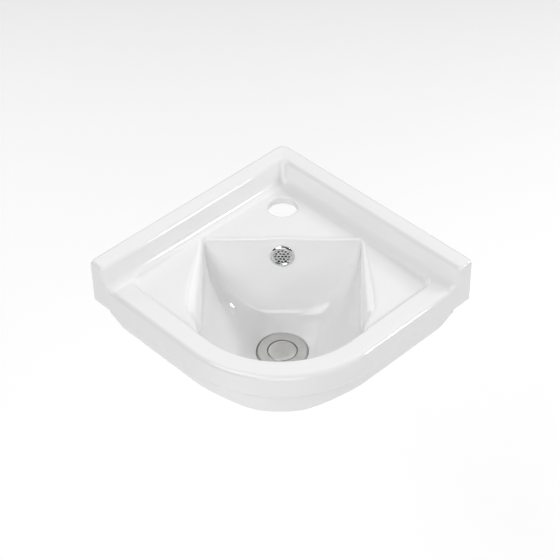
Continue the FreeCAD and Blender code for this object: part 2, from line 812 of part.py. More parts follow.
# ---------------------------------------------------------------- the waste
def waste_levels(d):
    """Work out the heights and radii that the waste's pieces share."""
    at = SimpleNamespace()
    at.boss_floor = -d.bowl_depth - d.boss_height
    at.washer_floor = -d.bowl_depth - d.waste_seat_depth
    at.flange_floor = at.washer_floor + d.flange_washer_thick
    at.flange_top = at.flange_floor + d.flange_thick
    at.recess_radius = d.cap_radius + d.cap_gap
    at.recess_floor = at.flange_top - d.cap_recess_depth
    at.cone_floor = at.recess_floor - d.seat_cone_depth
    at.cap_top = at.flange_top - d.cap_sink
    at.cap_floor = at.cap_top - d.cap_thick
    at.neck_floor = at.cap_floor - d.cap_neck_length
    at.sleeve_top = at.neck_floor - d.sleeve_neck_gap
    at.lid_floor = at.sleeve_top - d.sleeve_lid
    at.rotor_top = at.lid_floor - d.running_clearance - d.push_travel
    at.rotor_floor = at.rotor_top - d.rotor_height
    at.head_top = at.rotor_floor - d.running_clearance
    at.head_floor = at.head_top - d.plunger_head_height
    at.sleeve_floor = at.head_floor - d.spring_length
    at.spider_top = at.sleeve_floor - d.sleeve_floor
    at.spider_floor = at.spider_top - d.spider_thick
    at.cone_washer_floor = at.boss_floor - d.cone_washer_height
    at.slip_washer_floor = at.cone_washer_floor - d.slip_washer_thick
    at.backnut_floor = at.slip_washer_floor - d.backnut_height
    at.groove_floor = at.backnut_floor - d.tail_groove_width
    at.tail_floor = at.groove_floor - d.trap_thread_length
    at.thread_bore = d.tail_radius + d.thread_clearance
    return at


def make_waste_body(doc, d, at):
    """The flanged tail with its overflow windows and the spider that carries the cartridge."""
    body = turned(
        doc,
        "waste_body",
        [
            (d.tail_bore_radius, at.tail_floor),
            (d.tail_radius, at.tail_floor),
            (d.tail_radius, at.groove_floor),
            (d.tail_groove_radius, at.groove_floor),
            (d.tail_groove_radius, at.backnut_floor),
            (d.tail_radius, at.backnut_floor),
            (d.tail_radius, at.flange_floor),
            (d.flange_radius, at.flange_floor),
            (d.flange_radius, at.flange_floor + d.flange_thick / 3),
            (d.flange_radius - d.flange_thick * 2 / 3, at.flange_top),
            (at.recess_radius + d.cap_sink, at.flange_top),
            (at.recess_radius, at.flange_top - d.cap_sink),
            (at.recess_radius, at.recess_floor),
            (d.seat_bore_radius, at.cone_floor),
            (d.seat_bore_radius, at.cone_floor - d.seat_lip),
            (d.tail_bore_radius, at.cone_floor - d.seat_lip),
        ],
        d.waste_back,
    )
    sketch = new_sketch(body, "window_plan", "XZ_Plane")
    half = d.window_width / 2
    top = -d.bowl_depth - d.duct_cover
    low = at.boss_floor + d.window_cover
    draw_outline(sketch, [(-half, low, None), (half, low, None), (half, top, None), (-half, top, None)])
    window = extrude(body, "Pocket", "window", sketch, d.flange_radius)
    polar(body, "windows", [window], 4)
    reach = d.tail_bore_radius + (d.tail_radius - d.tail_bore_radius) / 2
    half = d.spider_arm / 2
    for name, wide, tall in (("spider_bar", reach, half), ("spider_cross_bar", half, reach)):
        sketch = new_sketch(body, f"{name}_plan", "XY_Plane", (0, 0, at.spider_floor))
        draw_outline(
            sketch,
            [(-wide, -tall, None), (wide, -tall, None), (wide, tall, None), (-wide, tall, None)],
        )
        extrude(body, "Pad", name, sketch, d.spider_thick)
    sketch = new_sketch(body, "spider_hub_plan", "XY_Plane", (0, 0, at.spider_floor))
    draw_circle(sketch, 0.0, 0.0, d.spider_hub_radius)
    extrude(body, "Pad", "spider_hub", sketch, d.spider_thick)
    sketch = new_sketch(body, "stud_hole_plan", "XY_Plane", (0, 0, at.spider_top))
    draw_circle(sketch, 0.0, 0.0, d.stud_radius)
    extrude(body, "Pocket", "stud_hole", sketch, d.spider_thick)
    return body


def draw_hexagon(sketch, x, y, across):
    """Draw a hexagon about x, y, measured across its flats, which face along the sketch's x."""
    corner_radius = across / ROOT3
    flat = across / 2
    draw_outline(
        sketch,
        [
            (x, y - corner_radius, None),
            (x + flat, y - corner_radius / 2, None),
            (x + flat, y + corner_radius / 2, None),
            (x, y + corner_radius, None),
            (x - flat, y + corner_radius / 2, None),
            (x - flat, y - corner_radius / 2, None),
        ],
    )


def make_hex_nut(doc, d, label, across, bore, floor, height):
    """Make a six-sided nut on the waste's axis."""
    body = new_body(doc, label, d.waste_back)
    sketch = new_sketch(body, f"{label}_plan", "XY_Plane", (0, 0, floor))
    draw_hexagon(sketch, 0.0, 0.0, across)
    draw_circle(sketch, 0.0, 0.0, bore)
    extrude(body, "Pad", f"{label}_block", sketch, height)
    return body


def make_waste(doc, d, at):
    """The waste body and what clamps and seals it in the china."""
    hole = d.waste_hole_radius - d.thread_clearance
    washer_out = d.flange_radius - d.flange_thick / 2
    washer_in = d.tail_radius + d.running_clearance
    slip_out = d.cone_washer_radius - d.thread_clearance
    flange_washer = turned(
        doc,
        "flange_washer",
        [
            (washer_in, at.washer_floor),
            (washer_out, at.washer_floor),
            (washer_out, at.flange_floor),
            (washer_in, at.flange_floor),
        ],
        d.waste_back,
    )
    cone_washer = turned(
        doc,
        "cone_washer",
        [
            (at.thread_bore, at.cone_washer_floor),
            (d.cone_washer_radius, at.cone_washer_floor),
            (d.cone_washer_radius, at.boss_floor - d.cone_washer_height / 3),
            (hole + (d.cone_washer_radius - hole) / 2, at.boss_floor),
            (hole, at.boss_floor),
            (hole - d.cone_washer_nose / 2, at.boss_floor + d.cone_washer_nose),
            (at.thread_bore, at.boss_floor + d.cone_washer_nose),
        ],
        d.waste_back,
    )
    slip_washer = turned(
        doc,
        "slip_washer",
        [
            (at.thread_bore, at.slip_washer_floor),
            (slip_out, at.slip_washer_floor),
            (slip_out, at.cone_washer_floor),
            (at.thread_bore, at.cone_washer_floor),
        ],
        d.waste_back,
    )
    backnut = make_hex_nut(
        doc, d, "backnut", d.backnut_across, at.thread_bore, at.backnut_floor, d.backnut_height
    )
    return [make_waste_body(doc, d, at), flange_washer, cone_washer, slip_washer, backnut]


# ---------------------------------------------------------------- the plug and its cartridge
def make_plug(doc, d, at):
    """The cap, its seal and the plunger that is screwed into it."""
    cap = turned(
        doc,
        "plug_cap",
        [
            (0.0, at.neck_floor + d.plunger_thread_depth),
            (d.plunger_radius, at.neck_floor + d.plunger_thread_depth),
            (d.plunger_radius, at.neck_floor),
            (d.cap_neck_radius, at.neck_floor),
            (d.cap_neck_radius, at.cap_floor),
            (d.cap_radius, at.cap_floor),
            (d.cap_radius, at.cap_top - d.cap_dome),
            (d.cap_radius - d.cap_dome, at.cap_top),
            (d.cap_radius / 2, at.cap_top + d.cap_dome * 3 / 4),
            (0.0, at.cap_top + d.cap_dome),
        ],
        d.waste_back,
    )
    run = (at.recess_radius - d.seat_bore_radius) / d.seat_cone_depth
    seal_floor = at.cap_floor - d.plug_seal_thick
    seal_shoulder = at.recess_floor - d.cap_gap
    seal_low = at.recess_radius - run * (at.recess_floor - seal_floor) - d.plug_seal_clearance
    seal_high = at.recess_radius - run * d.cap_gap - d.plug_seal_clearance
    seal = turned(
        doc,
        "plug_seal",
        [
            (d.cap_neck_radius, seal_floor),
            (seal_low, seal_floor),
            (seal_high, seal_shoulder),
            (seal_high, at.cap_floor),
            (d.cap_neck_radius, at.cap_floor),
        ],
        d.waste_back,
    )
    head = d.sleeve_bore_radius - d.running_clearance
    plunger = turned(
        doc,
        "plunger",
        [
            (0.0, at.head_floor),
            (head, at.head_floor),
            (head, at.head_top),
            (d.plunger_radius, at.head_top),
            (d.plunger_radius, at.neck_floor + d.plunger_thread_depth),
            (0.0, at.neck_floor + d.plunger_thread_depth),
        ],
        d.waste_back,
    )
    return [cap, seal, plunger]


def make_cartridge(doc, d, at):
    """The sleeve with its stud, the lugged rotor, the spring and the locknut under the spider."""
    sleeve_radius = d.sleeve_bore_radius + d.sleeve_wall
    rod_hole = d.plunger_radius + d.running_clearance
    stud_floor = at.spider_floor - d.stud_length
    sleeve = turned(
        doc,
        "cartridge_sleeve",
        [
            (0.0, stud_floor),
            (d.stud_radius, stud_floor),
            (d.stud_radius, at.spider_top),
            (sleeve_radius, at.spider_top),
            (sleeve_radius, at.sleeve_top),
            (rod_hole, at.sleeve_top),
            (rod_hole, at.lid_floor),
            (d.sleeve_bore_radius, at.lid_floor),
            (d.sleeve_bore_radius, at.sleeve_floor),
            (0.0, at.sleeve_floor),
        ],
        d.waste_back,
    )
    hub = rod_hole + d.rotor_wall
    rotor = new_body(doc, "cam_rotor", d.waste_back)
    sketch = new_sketch(rotor, "rotor_plan", "XY_Plane", (0, 0, at.rotor_floor))
    draw_circle(sketch, 0.0, 0.0, hub)
    draw_circle(sketch, 0.0, 0.0, rod_hole)
    extrude(rotor, "Pad", "rotor_ring", sketch, d.rotor_height)
    sketch = new_sketch(rotor, "rotor_lug_plan", "XY_Plane", (0, 0, at.rotor_floor))
    half = d.rotor_lug_width / 2
    near = hub - d.rotor_wall / 2
    reach = d.sleeve_bore_radius - d.running_clearance
    draw_outline(sketch, [(near, -half, None), (reach, -half, None), (reach, half, None), (near, half, None)])
    lug = extrude(rotor, "Pad", "rotor_lug", sketch, d.rotor_height)
    polar(rotor, "rotor_lugs", [lug], 4)

    spring = new_body(doc, "cartridge_spring", d.waste_back)
    coil_radius = d.sleeve_bore_radius - d.running_clearance - d.spring_wire_radius * 2
    sketch = new_sketch(spring, "wire_section", "XZ_Plane")
    wire_half = d.spring_wire_radius * 2 / ROOT3
    draw_hexagon(sketch, coil_radius, at.sleeve_floor + wire_half, d.spring_wire_radius * 2)
    coil = spring.newObject("PartDesign::AdditiveHelix", "coil")
    coil.Profile = sketch
    line = [item for item in spring.Origin.OriginFeatures if item.Role == "Z_Axis"][0]
    coil.ReferenceAxis = (line, [""])
    coil.Mode = "height-turns-angle"
    rise = at.head_floor - at.sleeve_floor - wire_half * 2
    bind(coil, "Height", rise)
    bind(coil, "Turns", d.spring_turns)

    locknut_floor = at.spider_floor - d.locknut_height
    locknut = make_hex_nut(
        doc, d, "cartridge_locknut", d.locknut_across, d.stud_radius, locknut_floor, d.locknut_height
    )
    return [sleeve, rotor, spring, locknut]


def main():
    """Build every sub-part, check it and write it."""
    doc = FreeCAD.newDocument("corner_basin")
    d = make_sheet(doc)
    at = waste_levels(d)
    bodies = [make_basin(doc, d)]
    bodies += make_bushes(doc, d)
    bodies += make_overflow(doc, d)
    bodies += make_waste(doc, d, at)
    bodies += make_plug(doc, d, at)
    bodies += make_cartridge(doc, d, at)
    doc.recompute()
    failed = [o.Name for o in doc.Objects if "Invalid" in o.State or "Error" in o.State]
    if failed:
        raise RuntimeError(f"features failed: {failed}")
    os.makedirs(PARTS_FOLDER, exist_ok=True)
    for body in bodies:
        shape = body.Shape
        if shape.isNull() or not shape.isValid():
            raise RuntimeError(f"{body.Label} is not a valid shape")
        shape.exportStep(os.path.join(PARTS_FOLDER, f"{body.Label}.step"))
        print(body.Label, len(shape.Solids), round(shape.Volume), shape.BoundBox)


main()
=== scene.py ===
"""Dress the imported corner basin: glazed china, plated overflow and waste, and a plain studio.

Lengths are in millimetres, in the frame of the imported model, and meshes are written in metres. Only the
finishes and the studio's lights and floor have their lengths in metres.
"""

import json
import logging
import math
from collections.abc import Callable, Sequence
from dataclasses import astuple, dataclass, field, replace
from enum import Enum

import bmesh
import bpy
import numpy as np
from mathutils import Matrix, Vector

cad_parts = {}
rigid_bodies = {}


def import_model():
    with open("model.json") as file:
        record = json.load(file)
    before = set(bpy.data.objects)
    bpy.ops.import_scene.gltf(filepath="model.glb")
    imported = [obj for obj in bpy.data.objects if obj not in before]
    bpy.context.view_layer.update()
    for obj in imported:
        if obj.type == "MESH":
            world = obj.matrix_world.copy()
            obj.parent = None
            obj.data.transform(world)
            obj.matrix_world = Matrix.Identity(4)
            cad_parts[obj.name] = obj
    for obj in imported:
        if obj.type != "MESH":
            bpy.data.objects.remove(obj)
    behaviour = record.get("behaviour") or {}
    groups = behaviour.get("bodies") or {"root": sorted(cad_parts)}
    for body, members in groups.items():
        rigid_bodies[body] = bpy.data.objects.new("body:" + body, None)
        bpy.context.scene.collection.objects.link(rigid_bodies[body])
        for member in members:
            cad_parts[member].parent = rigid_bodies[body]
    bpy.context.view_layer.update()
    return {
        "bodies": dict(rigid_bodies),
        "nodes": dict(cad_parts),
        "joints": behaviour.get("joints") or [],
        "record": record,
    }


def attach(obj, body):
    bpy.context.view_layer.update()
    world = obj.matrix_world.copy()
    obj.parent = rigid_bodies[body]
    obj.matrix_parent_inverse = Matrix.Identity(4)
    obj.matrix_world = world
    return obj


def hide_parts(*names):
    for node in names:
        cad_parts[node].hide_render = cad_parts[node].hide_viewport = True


LOG = logging.getLogger("corner_basin")
MM = 0.001
ROOT2 = math.sqrt(2.0)
QUARTER = math.pi / 2
Array = np.ndarray
Colour = tuple[float, float, float]
Corner = tuple[float, float, float]
Value = "float | tuple[float, ...] | Wire"


@dataclass(frozen=True)
class Plan:
    """Where the basin's pieces stand: distances off the wall corner, along a wall and below the rim."""

    wall_side: float = 300.0
    waste_back: float = 213.0
    overflow_back: float = 142.2
    overflow_drop: float = 26.0
    overflow_tilt: float = math.radians(4.0)
    bolt_along: float = 140.0
    bolt_drop: float = 48.0


PLAN = Plan()


# ---------------------------------------------------------------- node graphs
class Wire:
    """A socket that takes part in Python sums, each of which adds a Math node."""

    def __init__(self, graph: "Graph", socket: bpy.types.NodeSocket) -> None:
        """Keep the graph that new Math nodes go into and the output socket that carries the value."""
        self.graph = graph
        self.socket = socket

    def _sum(self, operation: str, first: Value, second: Value) -> "Wire":
        """Add one Math node and return its result."""
        return self.graph.add("ShaderNodeMath", {"operation": operation}, {0: first, 1: second})

    def __add__(self, other: Value) -> "Wire":
        """Return self + other."""
        return self._sum("ADD", self, other)

    def __radd__(self, other: Value) -> "Wire":
        """Return other + self."""
        return self._sum("ADD", other, self)

    def __sub__(self, other: Value) -> "Wire":
        """Return self - other."""
        return self._sum("SUBTRACT", self, other)

    def __rsub__(self, other: Value) -> "Wire":
        """Return other - self."""
        return self._sum("SUBTRACT", other, self)

    def __mul__(self, other: Value) -> "Wire":
        """Return self * other."""
        return self._sum("MULTIPLY", self, other)

    def __rmul__(self, other: Value) -> "Wire":
        """Return other * self."""
        return self._sum("MULTIPLY", other, self)


@dataclass(frozen=True)
class Grain:
    """A noise pattern: its waves in a metre, its detail and its roughness."""

    scale: float
    detail: float
    rough: float


class Graph:
    """A node tree of any kind, filled in one call for each node."""

    def __init__(self, tree: bpy.types.NodeTree) -> None:
        """Keep the tree that the nodes go into."""
        self.tree = tree

    def node(
        self, kind: str, settings: dict[str, object] | None = None, inputs: dict | None = None
    ) -> bpy.types.Node:
        """Add a node, its settings first and its sockets after them.

        Args:
            kind: The node's type.
            settings: Properties of the node; "stops" lists a ramp's (place, colour) pairs.
            inputs: Values or links by socket name, identifier or number.

        Returns:
            The new node.
        """
        made = self.tree.nodes.new(kind)
        for name, value in (settings or {}).items():
            if name == "stops":
                for element, (place, colour) in zip(made.color_ramp.elements, value):
                    element.position = place
                    element.color = colour
            else:
                setattr(made, name, value)
        self.feed(made, inputs or {})
        return made

    def feed(self, node: bpy.types.Node, inputs: dict[int | str, Value]) -> None:
        """Link a node's sockets or set their values.

        Args:
            node: The node.
            inputs: Values or links by socket name, identifier or number.
        """
        for key, value in inputs.items():
            if isinstance(key, int):
                socket = node.inputs[key]
            else:
                exact = [s for s in node.inputs if s.identifier == key]
                socket = (exact or [s for s in node.inputs if s.name == key])[0]
            if isinstance(value, Wire):
                self.tree.links.new(value.socket, socket)
            else:
                socket.default_value = value

    def add(
        self,
        kind: str,
        settings: dict[str, object] | None = None,
        inputs: dict | None = None,
        output: int | str = 0,
    ) -> Wire:
        """Add a node and return one of its outputs.

        Args:
            kind: The node's type.
            settings: Properties of the node.
            inputs: Values or links by socket name, identifier or number.
            output: The output's name, identifier or number.

        Returns:
            The output as a Wire.
        """
        made = self.node(kind, settings, inputs)
        if isinstance(output, int):
            return Wire(self, made.outputs[output])
        found = [s for s in made.outputs if output in (s.identifier, s.name)]
        return Wire(self, found[0])

    def mix_colour(self, factor: Value, first: Value, second: Value) -> Wire:
        """Blend two colours.

        Args:
            factor: The share of the second colour.
            first: The first colour, as a Wire or as three numbers.
            second: The second colour, likewise.

        Returns:
            The blended colour.
        """
        first, second = (c if isinstance(c, Wire) else (*c, 1.0) for c in (first, second))
        inputs = {"Factor_Float": factor, "A_Color": first, "B_Color": second}
        return self.add("ShaderNodeMix", {"data_type": "RGBA"}, inputs, "Result_Color")

    def noise(self, spot: Wire, grain: Grain) -> Wire:
        """Return a noise pattern's value at a spot."""
        inputs = {"Vector": spot, "Scale": grain.scale, "Detail": grain.detail, "Roughness": grain.rough}
        return self.add("ShaderNodeTexNoise", None, inputs)

    def fade(self, value: Wire, start: float, end: float, height: float) -> Wire:
        """Fall smoothly from a height to nothing.

        Args:
            value: What the fall depends on.
            start: Where it starts.
            end: Where it ends.
            height: The height that it starts from.

        Returns:
            The faded height.
        """
        inputs = {"Value": value, "From Min": start, "From Max": end, "To Min": height, "To Max": 0.0}
        return self.add("ShaderNodeMapRange", {"interpolation_type": "SMOOTHSTEP"}, inputs)

    def merge(self, *pieces: Wire) -> Wire:
        """Join geometries.

        Args:
            *pieces: The geometries.

        Returns:
            All of them as one.
        """
        joined = self.node("GeometryNodeJoinGeometry")
        for piece in pieces:
            self.feed(joined, {0: piece})
        return Wire(self, joined.outputs[0])


# ---------------------------------------------------------------- finishes
class Mixing:
    """A material while it is mixed: its graph, its shader and its Object coordinates."""

    def __init__(self, name: str) -> None:
        """Start a material with one shader.

        Args:
            name: The material's name.
        """
        self.material = bpy.data.materials.new(name)
        self.material.use_nodes = True
        self.shader = self.material.node_tree.nodes["Principled BSDF"]
        self.graph = Graph(self.material.node_tree)
        self.place = self.graph.add("ShaderNodeTexCoord", output="Object")

    def coat(self, inputs: dict[str, Value], relief: Wire | None = None) -> bpy.types.Material:
        """Fill the shader's sockets.

        Args:
            inputs: Values or links by socket name.
            relief: Height of the surface's relief in metres.

        Returns:
            The finished material.
        """
        self.graph.feed(self.shader, inputs)
        if relief is not None:
            bump = {"Strength": 1.0, "Distance": 1.0, "Height": relief}
            self.graph.feed(self.shader, {"Normal": self.graph.add("ShaderNodeBump", None, bump)})
        return self.material


@dataclass(frozen=True)
class Glaze:
    """A clear glossy glaze on white vitreous china."""

    name: str = "white_glaze"
    colour: Colour = (0.86, 0.86, 0.857)
    tint: Colour = (0.845, 0.847, 0.85)
    speck: Colour = (0.62, 0.6, 0.56)
    speck_share: float = 0.028
    speck_scale: float = 160.0
    speck_edge: tuple[float, float] = (0.035, 0.075)
    gloss: float = 0.045
    cloud_matt: float = 0.02
    bend: float = 1.52
    cloud: Grain = Grain(14.0, 3.0, 0.5)
    ripple: Grain = Grain(22.0, 1.0, 0.4)
    ripple_height: float = 0.00006
    peel: Grain = Grain(420.0, 2.0, 0.5)
    peel_height: float = 0.000004

    def make(self) -> bpy.types.Material:
        """Build the glaze: clouds and rare specks in its tone, a slow ripple and a fine peel.

        Returns:
            The material.
        """
        mixing = Mixing(self.name)
        graph, place = mixing.graph, mixing.place
        cloud = graph.noise(place, self.cloud)
        spread = {"Vector": place, "Scale": self.speck_scale, "Randomness": 1.0}
        cells = graph.add("ShaderNodeTexVoronoi", {"feature": "F1"}, spread)
        body = graph.mix_colour(cloud, self.colour, self.tint)
        specks = graph.fade(cells, *self.speck_edge, self.speck_share)
        tone = graph.mix_colour(specks, body, self.speck)
        relief = graph.noise(place, self.ripple) * self.ripple_height
        relief = relief + graph.noise(place, self.peel) * self.peel_height
        rough = cloud * self.cloud_matt + self.gloss
        return mixing.coat({"Base Color": tone, "Roughness": rough, "IOR": self.bend}, relief)


@dataclass(frozen=True)
class Plate:
    """Chrome plate over turned metal, with rings left by the lathe, a soft tarnish and, where set, painted
    shade behind its face.
    """

    name: str
    colour: Colour
    gloss: float
    ring_height: float
    centre: tuple[float, float, float] = (0.0, -PLAN.waste_back * MM, 0.0)
    turn: tuple[float, float, float] = (0.0, 0.0, 0.0)
    # Painted shade: near-black colour painted on what lies behind the face, where the hole stands in shade.
    painted_shade: float = 0.0
    painted_shade_edge: float = 0.001
    painted_shade_colour: Colour = (0.03, 0.03, 0.028)
    tarnish: float = 0.86
    mark_matt: float = 0.12
    ring_matt: float = 0.04
    ring_scale: float = 5200.0
    marks: Grain = Grain(90.0, 4.0, 0.6)

    def make(self) -> bpy.types.Material:
        """Build the plate: rings about the piece's axis, fingermarks, and painted shade that colours it near
        black behind its face, inside the hole.

        Returns:
            The material.
        """
        mixing = Mixing(self.name)
        graph = mixing.graph
        centring = {"Vector": mixing.place, "Location": self.centre, "Rotation": self.turn}
        centred = graph.add("ShaderNodeMapping", {"vector_type": "TEXTURE"}, centring)
        flat = graph.add(
            "ShaderNodeVectorMath", {"operation": "MULTIPLY"}, {0: centred, 1: (1.0, 1.0, 0.0)}
        )
        radius = graph.add("ShaderNodeVectorMath", {"operation": "LENGTH"}, {0: flat}, "Value")
        rings = graph.add(
            "ShaderNodeTexNoise",
            {"noise_dimensions": "1D"},
            {"W": radius * self.ring_scale, "Scale": 1.0, "Detail": 2.0, "Roughness": 0.6},
        )
        marks = graph.noise(centred, self.marks)
        tone = graph.mix_colour(marks, self.colour, tuple(self.tarnish * c for c in self.colour))
        along = graph.add("ShaderNodeSeparateXYZ", None, {"Vector": centred}, "Z")
        # Painted shade: behind the face, inside the hole, the plate is coloured near black in place of real
        # shade.
        painted_shade = graph.fade(along, 0.0, self.painted_shade_edge, self.painted_shade)
        tone = graph.mix_colour(painted_shade, tone, self.painted_shade_colour)
        rough = marks * self.mark_matt + rings * self.ring_matt + self.gloss
        inputs = {"Base Color": tone, "Metallic": 1.0, "Roughness": rough}
        return mixing.coat(inputs, rings * self.ring_height)


@dataclass(frozen=True)
class Brass:
    """Bare brass that has dulled unevenly."""

    name: str = "bare_brass"
    bright: tuple[float, Colour] = (0.35, (0.74, 0.56, 0.27))
    dulled: tuple[float, Colour] = (0.62, (0.52, 0.36, 0.16))
    gloss: float = 0.16
    cloud_matt: float = 0.3
    cloud: Grain = Grain(120.0, 5.0, 0.6)
    cuts: Grain = Grain(2600.0, 2.0, 0.6)
    cut_height: float = 0.000008

    def make(self) -> bpy.types.Material:
        """Build the brass: bright metal, brown clouds and machining grain.

        Returns:
            The material.
        """
        mixing = Mixing(self.name)
        graph = mixing.graph
        cloud = graph.noise(mixing.place, self.cloud)
        stops = [(place, (*colour, 1.0)) for place, colour in (self.bright, self.dulled)]
        tone = graph.add("ShaderNodeValToRGB", {"stops": stops}, {"Fac": cloud})
        relief = graph.noise(mixing.place, self.cuts) * self.cut_height
        rough = cloud * self.cloud_matt + self.gloss
        return mixing.coat({"Base Color": tone, "Metallic": 1.0, "Roughness": rough}, relief)


@dataclass(frozen=True)
class Moulding:
    """Moulded rubber or plastic with a faint skin texture."""

    name: str
    colour: Colour
    bloom: Colour
    gloss: float
    skin_height: float
    cloud_matt: float = 0.15
    cloud: Grain = Grain(60.0, 4.0, 0.55)
    skin: Grain = Grain(1500.0, 2.0, 0.5)

    def make(self) -> bpy.types.Material:
        """Build the moulding: a pale bloom in clouds over the colour, and a fine skin.

        Returns:
            The material.
        """
        mixing = Mixing(self.name)
        graph = mixing.graph
        cloud = graph.noise(mixing.place, self.cloud)
        tone = graph.mix_colour(cloud, self.colour, self.bloom)
        relief = graph.noise(mixing.place, self.skin) * self.skin_height
        rough = cloud * self.cloud_matt + self.gloss
        return mixing.coat({"Base Color": tone, "Roughness": rough}, relief)


@dataclass(frozen=True)
class StudioPaint:
    """Plain pale matt paint of the studio floor."""

    name: str = "studio_paint"
    colour: Colour = (0.93, 0.93, 0.93)
    shade: float = 0.985
    matt: float = 0.9
    sheen: float = 0.1
    glow: float = 0.22
    roller: Grain = Grain(3.0, 3.0, 0.5)

    def make(self) -> bpy.types.Material:
        """Build the paint, with a faint roller texture.

        Returns:
            The material.
        """
        mixing = Mixing(self.name)
        roller = mixing.graph.noise(mixing.place, self.roller)
        darker = tuple(self.shade * c for c in self.colour)
        tone = mixing.graph.mix_colour(roller, self.colour, darker)
        flat = {"Roughness": self.matt, "Specular IOR Level": self.sheen, "Emission Strength": self.glow}
        return mixing.coat({"Base Color": tone, "Emission Color": tone, **flat})


class Finish(Enum):
    """The record's material slots."""

    CHINA = "china"
    BRIGHT_PLATE = "bright_plate"
    SATIN_PLATE = "satin_plate"
    BRASS = "brass"
    CLEAR_RUBBER = "clear_rubber"
    BLACK_RUBBER = "black_rubber"
    WHITE_PLASTIC = "white_plastic"
    SPRING_STEEL = "spring_steel"


# ---------------------------------------------------------------- rounded solids as distance fields
def crest(a: Array, b: Array, r: float | Array) -> Array:
    """Cut a solid by another, with a rounded outer edge.

    Args:
        a: Distance to the first surface, negative inside.
        b: Distance to the second surface, negative inside.
        r: Radius of the edge.

    Returns:
        Distance to the solid that is inside both.
    """
    rounded = np.hypot(np.maximum(a + r, 0.0), np.maximum(b + r, 0.0))
    return np.minimum(-r, np.maximum(a, b)) + rounded


def cove(a: Array, b: Array, r: float | Array) -> Array:
    """Join two solids with a hollow fillet where they meet.

    Args:
        a: Distance to the first surface, negative inside.
        b: Distance to the second surface, negative inside.
        r: Radius of the fillet.

    Returns:
        Distance to the solid that is inside either.
    """
    rounded = np.hypot(np.maximum(r - a, 0.0), np.maximum(r - b, 0.0))
    return np.maximum(r, np.minimum(a, b)) - rounded


def melt(a: Array, b: Array, reach: float | Array) -> Array:
    """Cut a solid by another where they meet at a blunt angle, and smooth the edge.

    Args:
        a: Distance to the first surface, negative inside.
        b: Distance to the second surface, negative inside.
        reach: Difference between the two distances at which the smoothing ends.

    Returns:
        Distance to the solid that is inside both.
    """
    near = np.maximum(reach - np.abs(a - b), 0.0)
    return np.maximum(a, b) + near * near / (4.0 * reach)


def ease(value: Array, low: float, high: float) -> Array:
    """Rise smoothly from 0 at low to 1 at high.

    Args:
        value: Where to read the step.
        low: Where it leaves 0.
        high: Where it reaches 1.

    Returns:
        The step's height.
    """
    share = np.clip((value - low) / (high - low), 0.0, 1.0)
    return share * share * (3.0 - 2.0 * share)


@dataclass(frozen=True)
class Spots:
    """Points in one half of the basin: off the middle, off the far and near walls, and along y and z."""

    a: Array
    u: Array
    w: Array
    y: Array
    z: Array


@dataclass(frozen=True)
class BowlLevel:
    """One level of the bowl: its depth, how far its back, sides and front have come in, and its corners."""

    depth: float
    back: float
    half_width: float
    front: float
    front_radius: float
    side_radius: float
    back_radius: float


class BowlWall:
    """A smooth curve through the bowl's levels, read by depth."""

    def __init__(self, levels: Sequence[BowlLevel], steps: int = 240) -> None:
        """Draw the curve.

        Args:
            levels: The levels from the top down.
            steps: Points along the curve.
        """
        knots = np.array([astuple(level) for level in levels])
        gaps = np.linalg.norm(np.diff(knots[:, [0, 2, 3]], axis=0), axis=1)
        reach = np.concatenate([[0.0], np.cumsum(gaps)])
        slopes = np.gradient(knots, reach, axis=0)
        spots = np.linspace(0.0, reach[-1], steps)
        span = np.clip(np.searchsorted(reach, spots, side="right") - 1, 0, len(gaps) - 1)
        size = gaps[span][:, None]
        t = (spots - reach[span])[:, None] / size
        start = knots[span] * (1 + 2 * t) * (1 - t) ** 2 + slopes[span] * size * t * (1 - t) ** 2
        end = knots[span + 1] * t**2 * (3 - 2 * t) + slopes[span + 1] * size * t**2 * (t - 1)
        self.curve = start + end
        self.tilt = np.gradient(self.curve, self.curve[:, 0], axis=0)

    def read(self, depth: Array) -> tuple[list[Array], list[Array]]:
        """Read the curve.

        Args:
            depth: Depths below the rim.

        Returns:
            Each column after the depth, and how each changes with depth.
        """
        heights = self.curve[:, 0]
        columns = range(1, self.curve.shape[1])
        values = [np.interp(depth, heights, self.curve[:, k]) for k in columns]
        return values, [np.interp(depth, heights, self.tilt[:, k]) for k in columns]


